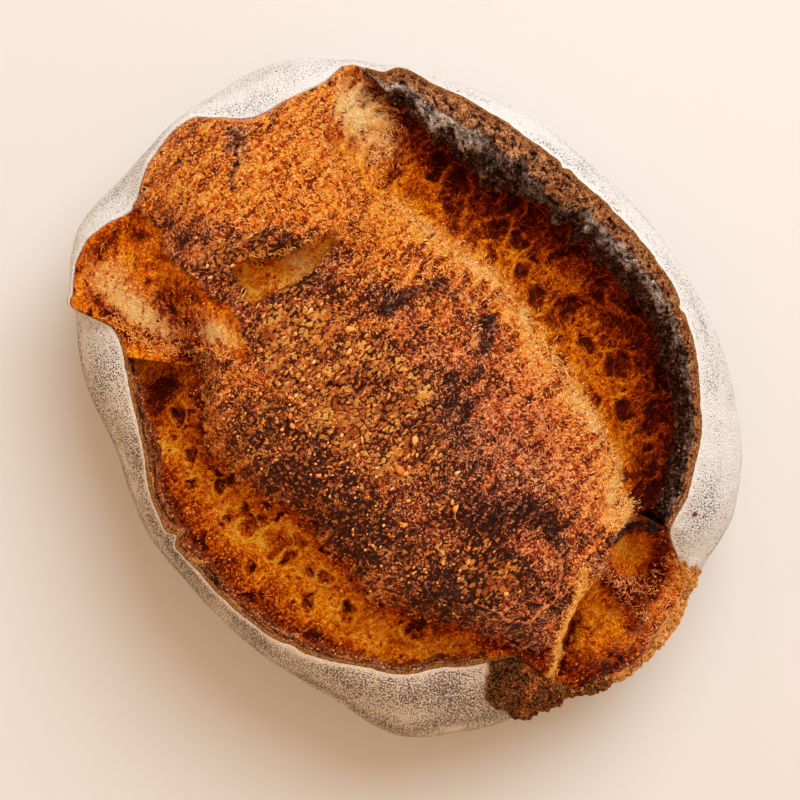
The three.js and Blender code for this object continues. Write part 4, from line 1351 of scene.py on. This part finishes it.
def floured_crust():
    """Side crust: white flour over beige crust, speckled where the flour has worn or scorched."""
    material, w, shader = new_material("floured crust", 0.9, 0.12)
    fine = w.group(GRAIN, scale=1500)
    dust = w.total(w.mask("flour"), w.about(fine, 0.35), clamp=True)
    under = w.blend(w.mask("tone"), colour(160, 118, 94), colour(186, 156, 136))
    base = w.blend(w.window(dust, 0.1, 0.75), under, colour(244, 240, 235))
    dense = w.total(w.times(w.mask("specks"), 0.15), w.times(w.mask("warmth_and_shade"), 0.11), 0.29)
    stipple = w.window(w.noise(1800, 2), w.total(dense, 0.03), dense)
    marks = w.times(stipple, w.window(w.mask("specks"), 0.0, 0.25))
    marks = w.times(marks, w.scaled(w.mask("warmth_and_shade"), -0.15, 1.0))
    base = w.blend(marks, base, w.blend(w.mask("warmth_and_shade"), colour(56, 48, 46), colour(72, 50, 36)))
    # Painted shade: the shady side is multiplied to a warmer, darker colour.
    base = w.blend(w.times(w.mask("warmth_and_shade"), 0.6), base, colour(244, 210, 172), "MULTIPLY")
    level = w.total(w.mask("tone"), w.about(fine, 0.5), clamp=True)
    felt = w.group(FELT, scale=620, curl=2.2)
    level = w.total(level, w.about(felt, 0.4), clamp=True)
    # Pale curled strokes on the torn and charred crust: painted highlights.
    highlight_strokes = w.times(felt, w.group(FELT, scale=1000, curl=2.0))
    torn = w.ramp(level, shades((0.1, (92, 28, 4)), (0.4, (204, 100, 26)), (0.8, (255, 180, 92))))
    torn = w.blend(w.times(highlight_strokes, 0.8), torn, colour(255, 200, 120))
    base = w.blend(w.mask("torn"), base, torn)
    burnt = w.ramp(level, shades((0.1, (26, 8, 4)), (0.4, (112, 38, 10)), (0.7, (196, 102, 40)),
                                 (1.0, (250, 182, 96))))
    base = w.blend(w.mask("char"), base, w.blend(w.times(highlight_strokes, 0.4), burnt, colour(246, 166, 88)))
    w.join(base, shader.inputs["Base Color"])
    w.join(w.group(SKIN, height=fine, depth=0.0006), shader.inputs["Normal"])
    return material


def charred_flap():
    """Torn faces of the flaps: toasted edge, porous brown band, grey ash on black char, dark red below;
    with pores painted dark as shade, painted highlights and glints, and painted overhang shadow in the dark
    red.
    """
    material, w, shader = new_material("charred flap", 0.55, 0.18)
    fine, felt = w.group(GRAIN, scale=1250), w.group(FELT, scale=700, curl=2.4)
    # Pale curled strokes: painted highlights on the brown band and painted glints on the ash.
    highlight_strokes = w.times(felt, w.group(FELT, scale=1200, curl=2.0))
    level = w.total(w.mask("tone"), w.about(fine, 0.3), w.about(felt, 0.35), clamp=True)
    brown = w.ramp(level, shades((0.15, (46, 12, 6)), (0.4, (112, 46, 22)), (0.6, (182, 100, 54)),
                                 (0.9, (252, 192, 132))))
    brown = w.blend(w.times(highlight_strokes, 0.6), brown, colour(255, 208, 154))
    brown = w.blend(w.times(w.mask("warmth_and_shade"), 0.7), brown, colour(255, 196, 120), "MULTIPLY")
    # Pores painted near black: painted shade in the pits.
    brown = w.blend(w.mask("pores"), brown, colour(44, 8, 4))
    black = w.ramp(level, shades((0.3, (10, 5, 4)), (0.65, (52, 28, 22)), (1.0, (190, 140, 112))))
    ash = w.ramp(level, shades((0.1, (74, 58, 52)), (0.35, (188, 164, 150)), (0.6, (255, 240, 226))))
    ashes = w.times(w.window(w.noise(700, 3), 0.3, 0.5), w.window(w.noise(150, 2), 0.34, 0.56))
    burnt = w.blend(w.times(w.mask("ash"), ashes), black, ash)
    burnt = w.blend(w.times(highlight_strokes, w.mask("ash"), 0.7), burnt, colour(236, 222, 212))
    base = w.blend(w.mask("char"), brown, burnt)
    base = w.blend(w.mask("edge"), base, w.blend(fine, colour(96, 48, 20), colour(206, 142, 78)))
    # Dark red below the drop, partly painted overhang shadow.
    base = w.blend(w.mask("under"), base, w.blend(level, colour(84, 14, 4), colour(206, 72, 18)))
    w.join(base, shader.inputs["Base Color"])
    relief = w.total(fine, w.times(highlight_strokes, 0.6))
    w.join(w.group(SKIN, height=relief, depth=0.0007), shader.inputs["Normal"])
    return material


def loose_bits():
    """Flakes, grains, shreds and fibres, each with its own tone and hue."""
    material, w, shader = new_material("loose bits", 0.6, 0.08)
    level = w.total(w.mask("tone"), w.about(w.group(GRAIN, scale=1800), 0.22), clamp=True)
    base = w.blend(w.mask("red"), w.ramp(level, LOOSE_GOLD), w.ramp(level, LOOSE_RED))
    base = w.blend(w.mask("crumb"), base, w.ramp(level, LOOSE_CRUMB))
    base = w.blend(w.mask("grey"), base, w.ramp(level, LOOSE_GREY))
    w.join(base, shader.inputs["Base Color"])
    return material


# ---- Stage ----

FLOOR_SIZE = 6
# The camera looks straight down and sees FIELD millimetres across at FIELD_LEVEL.
LENS_AT = (-1.16, -3.23, 900)
LENS_TURN = 45
FIELD = 292
FIELD_LEVEL = 40
LAMP_TURN, LAMP_RISE, LAMP_AWAY = 107, 50, 1.9
LAMP_WIDTH, LAMP_POWER, LAMP_COLOUR = 1.5, 39.2, (0.73, 0.875, 1.0)
SKY_COLOUR, SKY_STRENGTH = (1.0, 0.705, 0.472, 1), 0.895


def build_stage():
    """Pale floor, camera over the loaf, one soft lamp and a soft room."""
    bpy.ops.mesh.primitive_plane_add(size=FLOOR_SIZE)
    floor = bpy.context.object
    floor.name = "floor"
    material, w, shader = new_material("pale floor", 0.9, 0.1)
    tint = w.blend(w.window(w.noise(1.1, 2), 0.3, 0.7), colour(213, 208, 202), colour(215, 210, 205))
    w.join(tint, shader.inputs["Base Color"])
    floor.data.materials.append(material)

    camera = bpy.data.cameras.new("camera")
    camera.angle = 2 * math.atan(FIELD / 2 / (LENS_AT[2] - FIELD_LEVEL))
    holder = bpy.data.objects.new("camera", camera)
    holder.location = [place * MM for place in LENS_AT]
    holder.rotation_euler = (0, 0, math.radians(LENS_TURN))
    camera.clip_start = 0.01
    bpy.context.scene.collection.objects.link(holder)
    bpy.context.scene.camera = holder

    key = bpy.data.lights.new("key", "AREA")
    key.shape = "DISK"
    key.size = LAMP_WIDTH
    key.energy = LAMP_POWER
    key.color = LAMP_COLOUR
    lamp = bpy.data.objects.new("key", key)
    turn, rise = math.radians(LAMP_TURN), math.radians(LAMP_RISE)
    out = LAMP_AWAY * math.cos(rise)
    lamp.location = (out * math.cos(turn), out * math.sin(turn), LAMP_AWAY * math.sin(rise))
    lamp.rotation_euler = (math.pi / 2 - rise, 0, math.pi / 2 + turn)
    bpy.context.scene.collection.objects.link(lamp)

    world = bpy.data.worlds.new("soft room")
    bpy.context.scene.world = world
    world.use_nodes = True
    sky = world.node_tree.nodes["Background"]
    sky.inputs["Color"].default_value = SKY_COLOUR
    sky.inputs["Strength"].default_value = SKY_STRENGTH
    bpy.context.scene.view_settings.view_transform = "Standard"
    bpy.context.scene.view_settings.look = "None"


# ---- The loaf ----

FELT, GRAIN, SKIN = curly_felt(), fine_grain(), rough_skin()
toasted, floured, charred, loose = toasted_crust(), floured_crust(), charred_flap(), loose_bits()

tops, ground = open_top()
tall_flap, north_sheet = north_flap()
low_rim, south_sheet = south_rim()
for piece, material in [(side_crust(), floured), (base_crust(), floured), (tall_flap, charred),
                        (low_rim, charred), *((part, toasted) for part in tops),
                        (crust_bits(ground), loose), (crust_shreds(ground), loose),
                        (crumb_fibres(ground), loose), (flap_bits(north_sheet, south_sheet), loose)]:
    piece.data.materials.append(material)
    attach(piece, "root")
    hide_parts("loaf")
build_stage()

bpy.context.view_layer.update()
